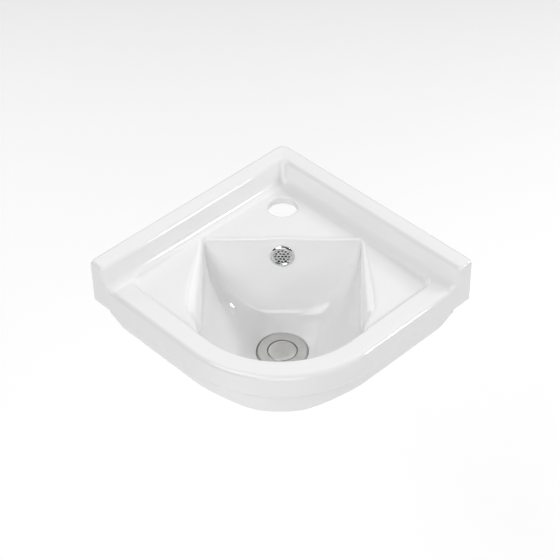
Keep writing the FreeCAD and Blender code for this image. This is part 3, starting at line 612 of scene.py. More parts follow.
@dataclass
class ChinaForm:
    """The casting as one distance field, the same on both sides of x = 0."""

    wall_side: float = PLAN.wall_side
    front_radius: float = 135.0
    back_radius: float = 9.0
    back_edge: float = 1.5
    rail_height: float = 26.0
    rail_top: float = 18.8
    rail_foot: float = 26.5
    rail_corner: float = 9.0
    rail_cove: float = 9.0
    rail_edge: float = 3.5
    rail_end: float = 5.0
    rail_run: tuple[float, float] = (20.0, 32.0)
    rail_fall: float = 0.12
    rim_edge: float = 6.0
    rim_width: float = 28.0
    band_depth: float = 31.0
    band_edge: float = 3.0
    skirt_step: float = 2.5
    skirt_top: float = 20.0
    skirt_depth: float = 55.0
    skirt_lift: float = 7.5
    lift_run: tuple[float, float] = (15.0, 75.0)
    skirt_wall: float = 12.0
    skirt_gap: float = 20.0
    skirt_corner: float = 5.0
    skirt_cove: float = 1.0
    skirt_end: float = 16.0
    skirt_end_run: float = 50.0
    skirt_edge: float = 3.0
    roof: float = 23.0
    roof_corner: float = 8.0
    roof_lap: float = 1.0
    hollow_corner: float = 10.0
    hollow_edge: float = 3.0
    deck_wall: float = 11.0
    deck_lap: float = 2.0
    space_corner: float = 6.0
    space_cove: float = 4.0
    rib_middle: float = 139.0
    rib_half: float = 97.0
    rib_top: float = 15.0
    rib_depth: float = 70.0
    rib_corner: float = 16.0
    rib_edge: float = 3.0
    rib_cove: float = 5.0
    slot_along: float = PLAN.bolt_along
    slot_drop: float = PLAN.bolt_drop
    slot_half: float = 14.0
    slot_half_height: float = 11.0
    slot_corner: float = 9.0
    slot_edge: float = 1.5
    shelf_gap: float = 31.0
    shelf_slope: float = math.tan(math.radians(3.4))
    shelf_corner: float = 14.0
    shelf_cove: float = 5.0
    shelf_edge_share: float = 0.6
    shelf_edge: tuple[float, float] = (0.05, 3.0)
    chord: float = 141.0
    chord_edge: float = 4.0
    side_roll: float = 15.0
    roll_run: tuple[float, float] = (-4.0, 95.0)
    lip_edge: float = 4.0
    lip_run: tuple[float, float] = (-26.0, -4.0)
    bowl_depth: float = 110.0
    bowl_wall: float = 10.0
    side_reach: float = 0.293
    floor_fall: float = 0.01
    floor_reach: float = 7.0
    shell_reach: float = 4.0
    shell_cove: float = 8.0
    levels: tuple[BowlLevel, ...] = (
        BowlLevel(-2.0, -0.2, 92.3, -0.4, 107.0, 6.0, 5.0),
        BowlLevel(38.0, 3.0, 86.0, 8.0, 100.0, 22.1, 9.0),
        BowlLevel(78.0, 9.0, 71.0, 30.0, 80.0, 34.0, 17.0),
        BowlLevel(100.0, 20.0, 53.0, 57.0, 58.0, 26.0, 22.0),
        BowlLevel(110.0, 35.0, 37.0, 80.0, 40.0, 16.0, 22.0),
    )
    arch_rise: float = 2.6
    arch_half: float = 17.0
    arch_drop: float = 17.0
    tap_back: float = 84.0
    tap_radius: float = 17.5
    tap_reach: float = 4.0
    tap_edge: float = 2.0
    waste_back: float = PLAN.waste_back
    waste_radius: float = 23.0
    waste_top: float = 60.0
    waste_edge: float = 1.0
    seat_radius: float = 30.4
    seat_depth: float = 3.5
    seat_edge: float = 1.5
    boss_radius: float = 37.0
    boss_top: float = 100.0
    boss_height: float = 28.0
    boss_edge: float = 2.0
    boss_cove: float = 8.0
    overflow_back: float = PLAN.overflow_back
    overflow_drop: float = PLAN.overflow_drop
    overflow_tilt: float = PLAN.overflow_tilt
    overflow_seat: float = 13.6
    overflow_hole: float = 11.0
    overflow_edge: float = 0.8
    recess_reach: float = 12.0
    hole_span: tuple[float, float] = (-16.0, 1.0)
    duct_half: float = 17.0
    duct_gap: float = 12.0
    duct_wall: float = 7.0
    duct_top: float = 14.0
    duct_cover: float = 9.0
    duct_end: float = 20.0
    duct_corner: float = 5.0
    duct_edge: float = 1.0
    housing_lift: float = 2.0
    housing_bend: float = 31.0
    housing_edge: float = 4.0
    housing_reach: float = 183.0
    housing_cove: float = 6.0
    probe: float = 0.02

    def __post_init__(self) -> None:
        """Draw the curve through the bowl's levels."""
        self.wall = BowlWall(self.levels)

    def front(self, at: Spots, reach: float | Array, radius: float | Array) -> Array:
        """Measure to the free sides and the round corner between them.

        Args:
            at: The points.
            reach: How far the free sides stand off the walls.
            radius: Radius of the corner.

        Returns:
            Distance outside the free sides.
        """
        core = reach - radius
        past = np.hypot(np.maximum(at.u - core, 0.0), np.maximum(at.w - core, 0.0))
        return np.where(at.u > core, past, at.u - core) - radius

    def rim(self, at: Spots) -> Array:
        """Return the distance outside the inner edge of the rim, towards the free sides."""
        return self.front(at, self.wall_side - self.rim_width, self.front_radius - self.rim_width)

    def top(self, at: Spots) -> Array:
        """Measure to the deck, the upstands along the walls and the two shelves.

        Args:
            at: The points.

        Returns:
            Distance above the top.
        """
        run = self.rail_foot - self.rail_top
        length = math.hypot(run, self.rail_height)
        near = ((at.w - self.rail_foot) * self.rail_height + at.z * run) / length
        far = ((at.u - self.rail_foot) * self.rail_height + at.z * run) / length
        crown = at.z - self.rail_height - self.rail_fall * (self.rail_top - at.w)
        rails = crest(cove(near, far, self.rail_corner), crown, self.rail_edge)
        deck = cove(rails, at.z, self.rail_cove)
        plan = crest(self.shelf_gap - at.w, self.rim(at), self.shelf_corner)
        plan = np.maximum(plan, at.y + self.chord)
        sunk = self.shelf_slope * np.maximum(-at.y - self.chord, 0.0)
        step = cove(at.z + sunk, -plan, self.shelf_cove)
        return crest(deck, step, np.clip(self.shelf_edge_share * sunk, *self.shelf_edge))

    def bowl_plan(self, at: Spots, depth: Array, out: float = 0.0) -> Array:
        """Measure to the bowl's upright walls.

        Args:
            at: The points.
            depth: The depth at which the bowl's levels are read.
            out: How far the walls are moved out.

        Returns:
            Distance outside the walls, negative between them.
        """
        values, tilts = self.wall.read(depth)
        back, half, front, front_radius, side_radius, back_radius = values
        side = (at.a - half - out) / np.hypot(1.0, tilts[1])
        rear = (at.y + self.chord + back - out) / np.hypot(1.0, tilts[0])
        reach = self.wall_side - self.rim_width - front + out
        free = self.front(at, reach, front_radius + out) / np.hypot(1.0, tilts[2])
        return crest(melt(side, free, self.side_reach * (side_radius + out)), rear, back_radius + out)

    def bowl(self, at: Spots) -> Array:
        """Measure to the inside of the bowl.

        Args:
            at: The points.

        Returns:
            Distance outside its hollow.
        """
        arch = self.arch_rise * np.exp(-((at.a / self.arch_half) ** 2)) * ease(at.z, -self.arch_drop, 0.0)
        plan = self.bowl_plan(replace(at, y=at.y - arch), -at.z)
        off_waste = np.hypot(at.a, at.y + self.waste_back)
        rise = self.floor_fall * np.maximum(off_waste - self.seat_radius, 0.0)
        return melt(plan, -self.bowl_depth + rise - at.z, self.floor_reach)

    def underside(self, at: Spots, free: Array) -> Array:
        """Measure to the hollow below the deck and the deeper space below the tap hole.

        Args:
            at: The points.
            free: Their distances outside the free sides.

        Returns:
            Distance outside both hollows.
        """
        walls = crest(self.skirt_wall - at.w, self.skirt_wall - at.u, self.space_corner)
        inner = crest(walls, free + self.skirt_step + self.skirt_wall, self.hollow_corner)
        hollow = crest(inner, at.z + self.roof, self.roof_corner)
        space_front = self.chord - self.bowl_wall - self.deck_lap
        space = crest(-space_front - at.y, at.z + self.deck_wall, self.space_corner)
        return cove(hollow, crest(walls, space, self.space_corner), self.space_cove)

    def rib(self, at: Spots) -> Array:
        """Measure to the rib that stands against the near wall, with its bolt slot.

        Args:
            at: The points.

        Returns:
            Distance outside the rib.
        """
        length = np.abs(at.u - self.rib_middle) - self.rib_half
        plate = crest(length, -self.rib_depth - at.z, self.rib_corner)
        plate = crest(np.maximum(plate, at.z + self.rib_top), at.w - self.skirt_wall, self.rib_edge)
        width = np.abs(at.u - self.slot_along) - self.slot_half
        height = np.abs(at.z + self.slot_drop) - self.slot_half_height
        return crest(plate, -crest(width, height, self.slot_corner), self.slot_edge)

    def below(self, at: Spots) -> Array:
        """Measure to the bowl's shell, the boss of the waste and the housing of the overflow duct.

        Args:
            at: The points.

        Returns:
            Distance outside all three.
        """
        shell = self.bowl_plan(at, -at.z - self.bowl_wall, self.bowl_wall)
        shell = melt(shell, -self.bowl_depth - self.bowl_wall - at.z, self.shell_reach)
        shell = np.maximum(shell, at.z + self.roof - self.roof_lap)
        off_waste = np.hypot(at.a, at.y + self.waste_back)
        floor = self.bowl_depth + self.boss_height
        boss = np.maximum(off_waste - self.boss_radius, at.z + self.boss_top)
        boss = crest(boss, -floor - at.z, self.boss_edge)
        back = self.chord - self.bowl_wall - self.duct_gap - self.duct_wall
        housing = crest(at.y + back, -floor + self.housing_lift - at.z, self.housing_bend)
        housing = crest(housing, at.a - self.duct_half - self.duct_wall, self.housing_edge)
        housing = np.maximum(housing, at.z + self.deck_wall - self.deck_lap)
        housing = np.maximum(housing, -self.housing_reach - at.y)
        return cove(cove(shell, boss, self.boss_cove), housing, self.housing_cove)

    def duct(self, at: Spots) -> Array:
        """Measure to the overflow's duct, which falls behind the bowl and turns forward to the waste.

        Args:
            at: The points.

        Returns:
            Distance outside the duct.
        """
        front = self.chord - self.bowl_wall
        floor = self.bowl_depth + self.boss_height - self.duct_cover
        bend = crest(at.y + front - self.duct_gap, -floor - at.z, 2.0 * self.duct_gap)
        tall = np.maximum(-front - at.y, at.z + self.duct_top)
        low = np.maximum(at.z + self.bowl_depth + self.duct_cover, -(self.waste_back - self.duct_end) - at.y)
        both = np.maximum(bend, cove(tall, low, self.duct_gap))
        return crest(both, at.a - self.duct_half, self.duct_corner)

    def holes(self, at: Spots) -> list[tuple[Array, float]]:
        """Measure to each hole.

        Args:
            at: The points.

        Returns:
            Each hole's distance, negative in the hole, with the radius of its edge.
        """
        tap = np.hypot(at.a, at.y + self.tap_back) - self.tap_radius
        tap = np.maximum(tap, -self.roof - self.tap_reach - at.z)
        off_waste = np.hypot(at.a, at.y + self.waste_back)
        seat = np.maximum(off_waste - self.seat_radius, -self.bowl_depth - self.seat_depth - at.z)
        waste = np.maximum(off_waste - self.waste_radius, at.z + self.waste_top)
        lean_y = -math.cos(self.overflow_tilt)
        lean_z = math.sin(self.overflow_tilt)
        off_y = at.y + self.overflow_back
        off_z = at.z + self.overflow_drop
        along = off_y * lean_y + off_z * lean_z
        around = np.hypot(at.a, off_z * -lean_y + off_y * lean_z)
        recess = np.maximum(around - self.overflow_seat, np.maximum(-along, along - self.recess_reach))
        ends = np.maximum(self.hole_span[0] - along, along - self.hole_span[1])
        hole = np.maximum(around - self.overflow_hole, ends)
        return [
            (tap, self.tap_edge),
            (seat, self.seat_edge),
            (waste, self.waste_edge),
            (recess, self.overflow_edge),
            (hole, self.overflow_edge),
            (self.duct(at), self.duct_edge),
        ]

    def distance(self, x: Array, y: Array, z: Array) -> Array:
        """Measure from points to the china.

        Args:
            x: Across, on either side.
            y: Towards the wall corner.
            z: Up.

        Returns:
            Distance to the surface, negative in the china.
        """
        a = np.abs(x)
        at = Spots(a, (a - y) / ROOT2, (-a - y) / ROOT2, y, z)
        free = self.front(at, self.wall_side, self.front_radius)
        top = self.top(at)
        edge = self.rail_end + (self.rim_edge - self.rail_end) * ease(at.w, *self.rail_run)
        slab = crest(crest(top, free, edge), -self.band_depth - z, self.band_edge)
        skirt = crest(free + self.skirt_step, self.skirt_gap - at.w, self.skirt_corner)
        low = -self.skirt_depth + self.skirt_lift * ease(a, *self.lift_run) - z
        inset = ease(at.w, self.skirt_gap, self.skirt_end_run)
        edge = self.skirt_end + (self.skirt_edge - self.skirt_end) * inset
        skirt = np.maximum(crest(skirt, low, edge), z + self.skirt_top)
        china = cove(slab, skirt, self.skirt_cove)
        china = crest(china, -self.underside(at, free), self.hollow_edge)
        china = cove(china, self.rib(at), self.rib_cove)
        china = cove(china, self.below(at), self.shell_cove)
        bowl = self.bowl(at)
        edge = self.chord_edge + self.side_roll * ease(-y - self.chord, *self.roll_run)
        edge = edge + (self.lip_edge - edge) * ease(self.rim(at), *self.lip_run)
        china = np.maximum(crest(top, -bowl, edge), np.maximum(china, -bowl))
        china = crest(china, crest(-at.w, -at.u, self.back_radius), self.back_edge)
        for hole, radius in self.holes(at):
            china = crest(china, -hole, radius)
        return china

    def slope(self, points: Array) -> Array:
        """Work out the field's gradient at points, which is the surface's normal there.

        Args:
            points: One point for each row.

        Returns:
            One unit vector for each row.
        """
        parts = []
        for axis in range(3):
            ahead = points.copy()
            behind = points.copy()
            ahead[:, axis] += self.probe
            behind[:, axis] -= self.probe
            parts.append(self.distance(*ahead.T) - self.distance(*behind.T))
        rise = np.stack(parts, axis=1)
        return rise / np.maximum(np.linalg.norm(rise, axis=1, keepdims=True), 1e-9)


@dataclass
class NetSkin:
    """A skin of four-sided faces over a mirrored distance field, on an even grid."""

    measure: Callable[[Array, Array, Array], Array]
    reach: float
    y_span: tuple[float, float]
    z_span: tuple[float, float]
    pitch: float

    def samples(self) -> tuple[Array, Array]:
        """Measure one half of the grid and mirror it.

        Returns:
            The field's values and the grid's first corner.
        """
        half = np.arange(self.pitch / 2, self.reach + self.pitch, self.pitch)
        ys = np.arange(self.y_span[0], self.y_span[1] + self.pitch, self.pitch)
        zs = np.arange(self.z_span[0], self.z_span[1] + self.pitch, self.pitch)
        slices = [self.measure(np.full((1, 1), x), ys[:, None], zs[None, :]) for x in half]
        values = np.stack([np.broadcast_to(s, (len(ys), len(zs))) for s in slices])
        values = np.concatenate([values[::-1], values])
        return values, np.array([-half[-1], ys[0], zs[0]])

    @staticmethod
    def pairs(grid: Array, axis: int) -> tuple[Array, Array]:
        """Set each layer of the grid beside the next.

        Args:
            grid: The grid's values.
            axis: The axis along which the layers follow each other.

        Returns:
            All layers but the last, and all but the first.
        """
        first = [slice(None)] * 3
        second = [slice(None)] * 3
        first[axis] = slice(None, -1)
        second[axis] = slice(1, None)
        return grid[tuple(first)], grid[tuple(second)]

    @staticmethod
    def beside(cells: Array, axes: Sequence[int], shifts: tuple[int, int]) -> Array:
        """Step from cells to their neighbours.

        Args:
            cells: One cell's three numbers for each row.
            axes: The two axes along which to step.
            shifts: How many cells to step along each.

        Returns:
            The neighbours' numbers.
        """
        found = cells.copy()
        for axis, shift in zip(axes, shifts):
            found[:, axis] += shift
        return found

    def build(self) -> tuple[Array, Array]:
        """Place a point in each cell that the surface crosses and join the points.

        Returns:
            The points and the faces' corner numbers.
        """
        values, corner = self.samples()
        inside = values < 0
        shape = np.array(values.shape) - 1
        total = np.zeros((*shape, 3))
        count = np.zeros(shape)
        for axis in range(3):
            here, there = self.pairs(values, axis)
            cross = np.not_equal(*self.pairs(inside, axis))
            index = np.argwhere(cross)
            spot = index.astype(float)
            spot[:, axis] += here[cross] / (here[cross] - there[cross])
            others = [k for k in range(3) if k != axis]
            for shifts in ((0, 0), (0, -1), (-1, 0), (-1, -1)):
                cell = self.beside(index, others, shifts)
                good = np.all((cell >= 0) & (cell < shape), axis=1)
                rows = tuple(cell[good].T)
                np.add.at(total, rows, spot[good])
                np.add.at(count, rows, 1)
        held = count > 0
        number = np.full(shape, -1, dtype=np.int64)
        number[held] = np.arange(int(held.sum()))
        points = corner + total[held] / count[held][:, None] * self.pitch
        return points, self.faces(inside, number)

    def faces(self, inside: Array, number: Array) -> Array:
        """Join the points of the four cells round each crossed grid edge.

        Args:
            inside: Whether each grid point is in the solid.
            number: Each cell's point.

        Returns:
            The faces' corner numbers, turned outwards.
        """
        faces = []
        for axis in range(3):
            here, there = self.pairs(inside, axis)
            index = np.argwhere(here != there)
            others = ((axis + 1) % 3, (axis + 2) % 3)
            around = [self.beside(index, others, s) for s in ((-1, -1), (0, -1), (0, 0), (-1, 0))]
            quad = np.stack([number[tuple(cell.T)] for cell in around], axis=1)
            outward = here[here != there]
            faces.append(np.where(outward[:, None], quad, quad[:, ::-1]))
        return np.concatenate(faces)


# ---------------------------------------------------------------- mesh helpers
def add_object(name: str, data: bpy.types.ID) -> bpy.types.Object:
    """Link a new object to the scene.

    Args:
        name: The object's name.
        data: Its mesh, light or camera.

    Returns:
        The object.
    """
    made = bpy.data.objects.new(name, data)
    bpy.context.scene.collection.objects.link(made)
    return made


def mesh_object(name: str, points: Array, faces: list[list[int]]) -> bpy.types.Object:
    """Make a smooth object from points in millimetres.

    Args:
        name: The object's name.
        points: One point for each row.
        faces: The faces' corner numbers.

    Returns:
        The object.
    """
    mesh = bpy.data.meshes.new(name)
    mesh.from_pydata((points * MM).tolist(), [], faces)
    mesh.polygons.foreach_set("use_smooth", [True] * len(mesh.polygons))
    return add_object(name, mesh)


def shape_object(name: str, shape: bmesh.types.BMesh) -> bpy.types.Object:
    """Make an object from a worked shape.

    Args:
        name: The object's name.
        shape: The shape, which is used up.

    Returns:
        The object.
    """
    mesh = bpy.data.meshes.new(name)
    shape.to_mesh(mesh)
    shape.free()
    return add_object(name, mesh)


def settle(made: bpy.types.Object) -> bpy.types.Object:
    """Replace an object by a plain mesh of what its modifiers give.

    Args:
        made: The object with its modifiers.

    Returns:
        A new object of the same name with no modifier.
    """
    name = made.name
    seen = made.evaluated_get(bpy.context.evaluated_depsgraph_get())
    mesh = bpy.data.meshes.new_from_object(seen)
    mesh.transform(made.matrix_world)
    made.name = f"{name}_draft"
    plain = add_object(name, mesh)
    bpy.data.objects.remove(made)
    mesh.name = name
    return plain


def weigh_normals(made: bpy.types.Object, angle: float = 40.0) -> bpy.types.Object:
    """Shade a piece so that its flats stay flat beside its rounded edges.

    Args:
        made: The piece.
        angle: Edges sharper than this many degrees stay sharp.

    Returns:
        The piece as a plain mesh.
    """
    made.data.set_sharp_from_angle(angle=math.radians(angle))
    weighted = made.modifiers.new("weights", "WEIGHTED_NORMAL")
    weighted.keep_sharp = True
    return settle(made)


def soften(corners: Sequence[Corner], steps: int = 5) -> list[tuple[float, float]]:
    """Round the corners of a closed half section.

    Args:
        corners: Radius, height and corner radius of each corner in order.
        steps: Points along each rounded corner, less one.

    Returns:
        The rounded section's points.
    """
    rounded = []
    count = len(corners)
    for index, (r, z, size) in enumerate(corners):
        here = np.array([r, z])
        before = np.array(corners[index - 1][:2]) - here
        after = np.array(corners[(index + 1) % count][:2]) - here
        lengths = np.linalg.norm(before), np.linalg.norm(after)
        before, after = before / lengths[0], after / lengths[1]
        half = math.acos(float(np.clip(before @ after, -1.0, 1.0))) / 2
        reach = min(size / max(math.tan(half), 1e-6), 0.49 * min(lengths))
        if size <= 0 or reach < 1e-4 or abs(half - QUARTER) < 1e-3:
            rounded.append((r, z))
            continue
        size = reach * math.tan(half)
        middle = here + (before + after) / np.linalg.norm(before + after) * size / math.sin(half)
        start, end = here + before * reach - middle, here + after * reach - middle
        turn = math.atan2(start[0] * end[1] - start[1] * end[0], float(start @ end))
        for step in range(steps + 1):
            angle = turn * step / steps
            c, s = math.cos(angle), math.sin(angle)
            spot = middle + np.array([start[0] * c - start[1] * s, start[0] * s + start[1] * c])
            rounded.append((float(spot[0]), float(spot[1])))
    return rounded


@dataclass
class Lathe:
    """Turns closed half sections about an upright axis, then leans them into place."""

    place: Matrix
    around: int = 96

    def turn(self, name: str, corners: Sequence[Corner]) -> bpy.types.Object:
        """Turn one section.

        Args:
            name: The piece's name.
            corners: Radius, height and corner radius of each corner, anticlockwise as seen with the
                radius to the right and the height up.

        Returns:
            The turned piece.
        """
        angles = np.arange(self.around) * 2 * math.pi / self.around
        points, rings = [], []
        for r, z in soften(corners):
            if r < 1e-6:
                rings.append([len(points)] * self.around)
                points.append((0.0, 0.0, z))
                continue
            rings.append(list(range(len(points), len(points) + self.around)))
            points += [(r * math.cos(t), r * math.sin(t), z) for t in angles]
        faces = []
        for low, high in zip(rings, rings[1:] + rings[:1]):
            for k in range(self.around):
                n = (k + 1) % self.around
                ring = list(dict.fromkeys([low[k], low[n], high[n], high[k]]))
                if len(ring) > 2:
                    faces.append(ring)
        made = mesh_object(name, np.array(points), faces)
        made.data.transform(self.place)
        return made


def cut(made: bpy.types.Object, cutter: bpy.types.Object) -> bpy.types.Object:
    """Cut one solid out of another.

    Args:
        made: The piece.
        cutter: What is cut away, which is then removed.

    Returns:
        The piece as a plain mesh.
    """
    cutting = made.modifiers.new("cut", "BOOLEAN")
    cutting.operation = "DIFFERENCE"
    cutting.solver = "EXACT"
    cutting.object = cutter
    plain = settle(made)
    bpy.data.objects.remove(cutter)
    return plain


def block(name: str, low: Sequence[float], high: Sequence[float], place: Matrix) -> bpy.types.Object:
    """Make a block and move it into place.

    Args:
        name: The block's name.
        low: Its lowest corner in millimetres.
        high: Its highest corner.
        place: Where the block's own axes stand.

    Returns:
        The block.
    """
    shape = bmesh.new()
    bmesh.ops.create_cube(shape, size=1.0)
    middle = (Vector(low) + Vector(high)) / 2
    size = Vector(high) - Vector(low)
    fitted = Matrix.Translation(middle * MM) @ Matrix.Diagonal((*(size * MM), 1.0))
    bmesh.ops.transform(shape, matrix=fitted, verts=shape.verts)
    made = shape_object(name, shape)
    made.data.transform(place)
    return made


def join(name: str, pieces: Sequence[bpy.types.Object]) -> bpy.types.Object:
    """Join pieces into one mesh.

    Args:
        name: The joined piece's name.
        pieces: The pieces, which are used up.

    Returns:
        The joined piece.
    """
    shape = bmesh.new()
    for piece in pieces:
        shape.from_mesh(piece.data)
        bpy.data.objects.remove(piece)
    return shape_object(name, shape)


# ---------------------------------------------------------------- trees for what repeats
@dataclass
class RepeatTree:
    """A geometry tree with named inputs that ends in Realize Instances and Set Material."""

    name: str
    material: bpy.types.Material
    inputs: dict[str, float]
    graph: Graph = field(init=False)
    group_in: bpy.types.Node = field(init=False)

    def __post_init__(self) -> None:
        """Open the tree and declare its inputs."""
        tree = bpy.data.node_groups.new(self.name, "GeometryNodeTree")
        tree.interface.new_socket("Geometry", in_out="OUTPUT", socket_type="NodeSocketGeometry")
        for label, value in self.inputs.items():
            named = tree.interface.new_socket(label, in_out="INPUT", socket_type="NodeSocketFloat")
            named.default_value = value
        self.graph = Graph(tree)
        self.group_in = self.graph.node("NodeGroupInput")

    def size(self, label: str) -> Wire:
        """Return one of the named inputs."""
        return Wire(self.graph, self.group_in.outputs[label])

    def piece(self, geometry: Wire, smooth: bool = True) -> bpy.types.Object:
        """Close the tree and turn its result into a plain mesh.

        Args:
            geometry: What the tree has made.
            smooth: Whether the faces are shaded smooth.

        Returns:
            The plain piece.
        """
        add = self.graph.add
        real = add("GeometryNodeRealizeInstances", None, {"Geometry": geometry})
        shaded = add("GeometryNodeSetShadeSmooth", None, {"Geometry": real, "Shade Smooth": smooth})
        done = add("GeometryNodeSetMaterial", None, {"Geometry": shaded, "Material": self.material})
        self.graph.node("NodeGroupOutput", None, {"Geometry": done})
        made = add_object(self.name, bpy.data.meshes.new(self.name))
        holder = made.modifiers.new(self.name, "NODES")
        holder.node_group = self.graph.tree
        for item in self.graph.tree.interface.items_tree:
            if item.item_type == "SOCKET" and item.in_out == "INPUT":
                holder[item.identifier] = self.inputs[item.name]
        return settle(made)


# ---------------------------------------------------------------- sub-assemblies
@dataclass
class Assembly:
    """What the sub-assemblies share: the frame, the finishes and the way a piece is handed over."""

    frame: dict
    finishes: dict[Finish, bpy.types.Material]

    def dress(self, made: bpy.types.Object, slot: Finish) -> None:
        """Give a piece the finish of its slot."""
        made.data.materials.clear()
        made.data.materials.append(self.finishes[slot])

    def hand_over(self, made: bpy.types.Object, body: str, slot: Finish, node: str) -> None:
        """Dress a piece, give it to its body and hide the node that it stands for.

        Args:
            made: The piece.
            body: The body that it moves with.
            slot: The record's material slot.
            node: The node that it replaces.
        """
        self.dress(made, slot)
        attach(made, body)
        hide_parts(node)
        LOG.info("%s: %d faces, stands for %s", made.name, len(made.data.polygons), node)

    def dress_node(self, node: str, slot: Finish) -> None:
        """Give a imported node, which keeps its shape, the finish of its slot."""
        self.dress(self.frame["nodes"][node], slot)
        LOG.info("%s keeps its shape and is dressed in %s", node, slot.value)


@dataclass
class China(Assembly):
    """The glazed casting, skinned over its distance field."""

    form: ChinaForm = field(default_factory=ChinaForm)
    side_room: float = 4.0
    y_span: tuple[float, float] = (-372.0, 3.0)
    z_span: tuple[float, float] = (-141.0, 29.0)
    pitch: float = 2.0
    quick_pitch: float = 3.2
    most_triangles: int = 190000
    first_rounds: int = 4
    last_rounds: int = 2
    last_limit: float = 0.4
    press_share: float = 0.9

    def build(self) -> None:
        """Skin the form, thin the skin, set its exact normals and hand it over."""
        pitch = self.pitch
        reach = self.form.wall_side * ROOT2 / 2 + self.side_room
        points, faces = NetSkin(self.form.distance, reach, self.y_span, self.z_span, pitch).build()
        points = self.press(points, self.first_rounds, pitch)
        made = mesh_object("china_casting", points, faces.tolist())
        if 2 * len(faces) > self.most_triangles:
            thinning = made.modifiers.new("thin", "DECIMATE")
            thinning.ratio = self.most_triangles / (2 * len(faces))
            made = settle(made)
        self.refine(made)
        self.hand_over(made, "basin_assembly", Finish.CHINA, "basin")

    def press(self, points: Array, rounds: int, limit: float) -> Array:
        """Move points along the field's slope until they lie on the surface.

        Args:
            points: One point for each row.
            rounds: How many times they move.
            limit: The most that a point moves in one round.

        Returns:
            The moved points.
        """
        for _ in range(rounds):
            away = self.form.distance(*points.T)
            move = np.clip(away, -limit, limit)[:, None] * self.form.slope(points)
            points = points - self.press_share * move
        return points

    def refine(self, made: bpy.types.Object) -> None:
        """Set each corner's place and normal from the field itself.

        Args:
            made: The skin.
        """
        mesh = made.data
        flat = np.zeros(len(mesh.vertices) * 3)
        mesh.vertices.foreach_get("co", flat)
        points = self.press(flat.reshape(-1, 3) / MM, self.last_rounds, self.last_limit)
        mesh.vertices.foreach_set("co", (points * MM).ravel())
        normals = self.form.slope(points)
        mesh.polygons.foreach_set("use_smooth", [True] * len(mesh.polygons))
        mesh.normals_split_custom_set_from_vertices(normals.tolist())
        mesh.update()


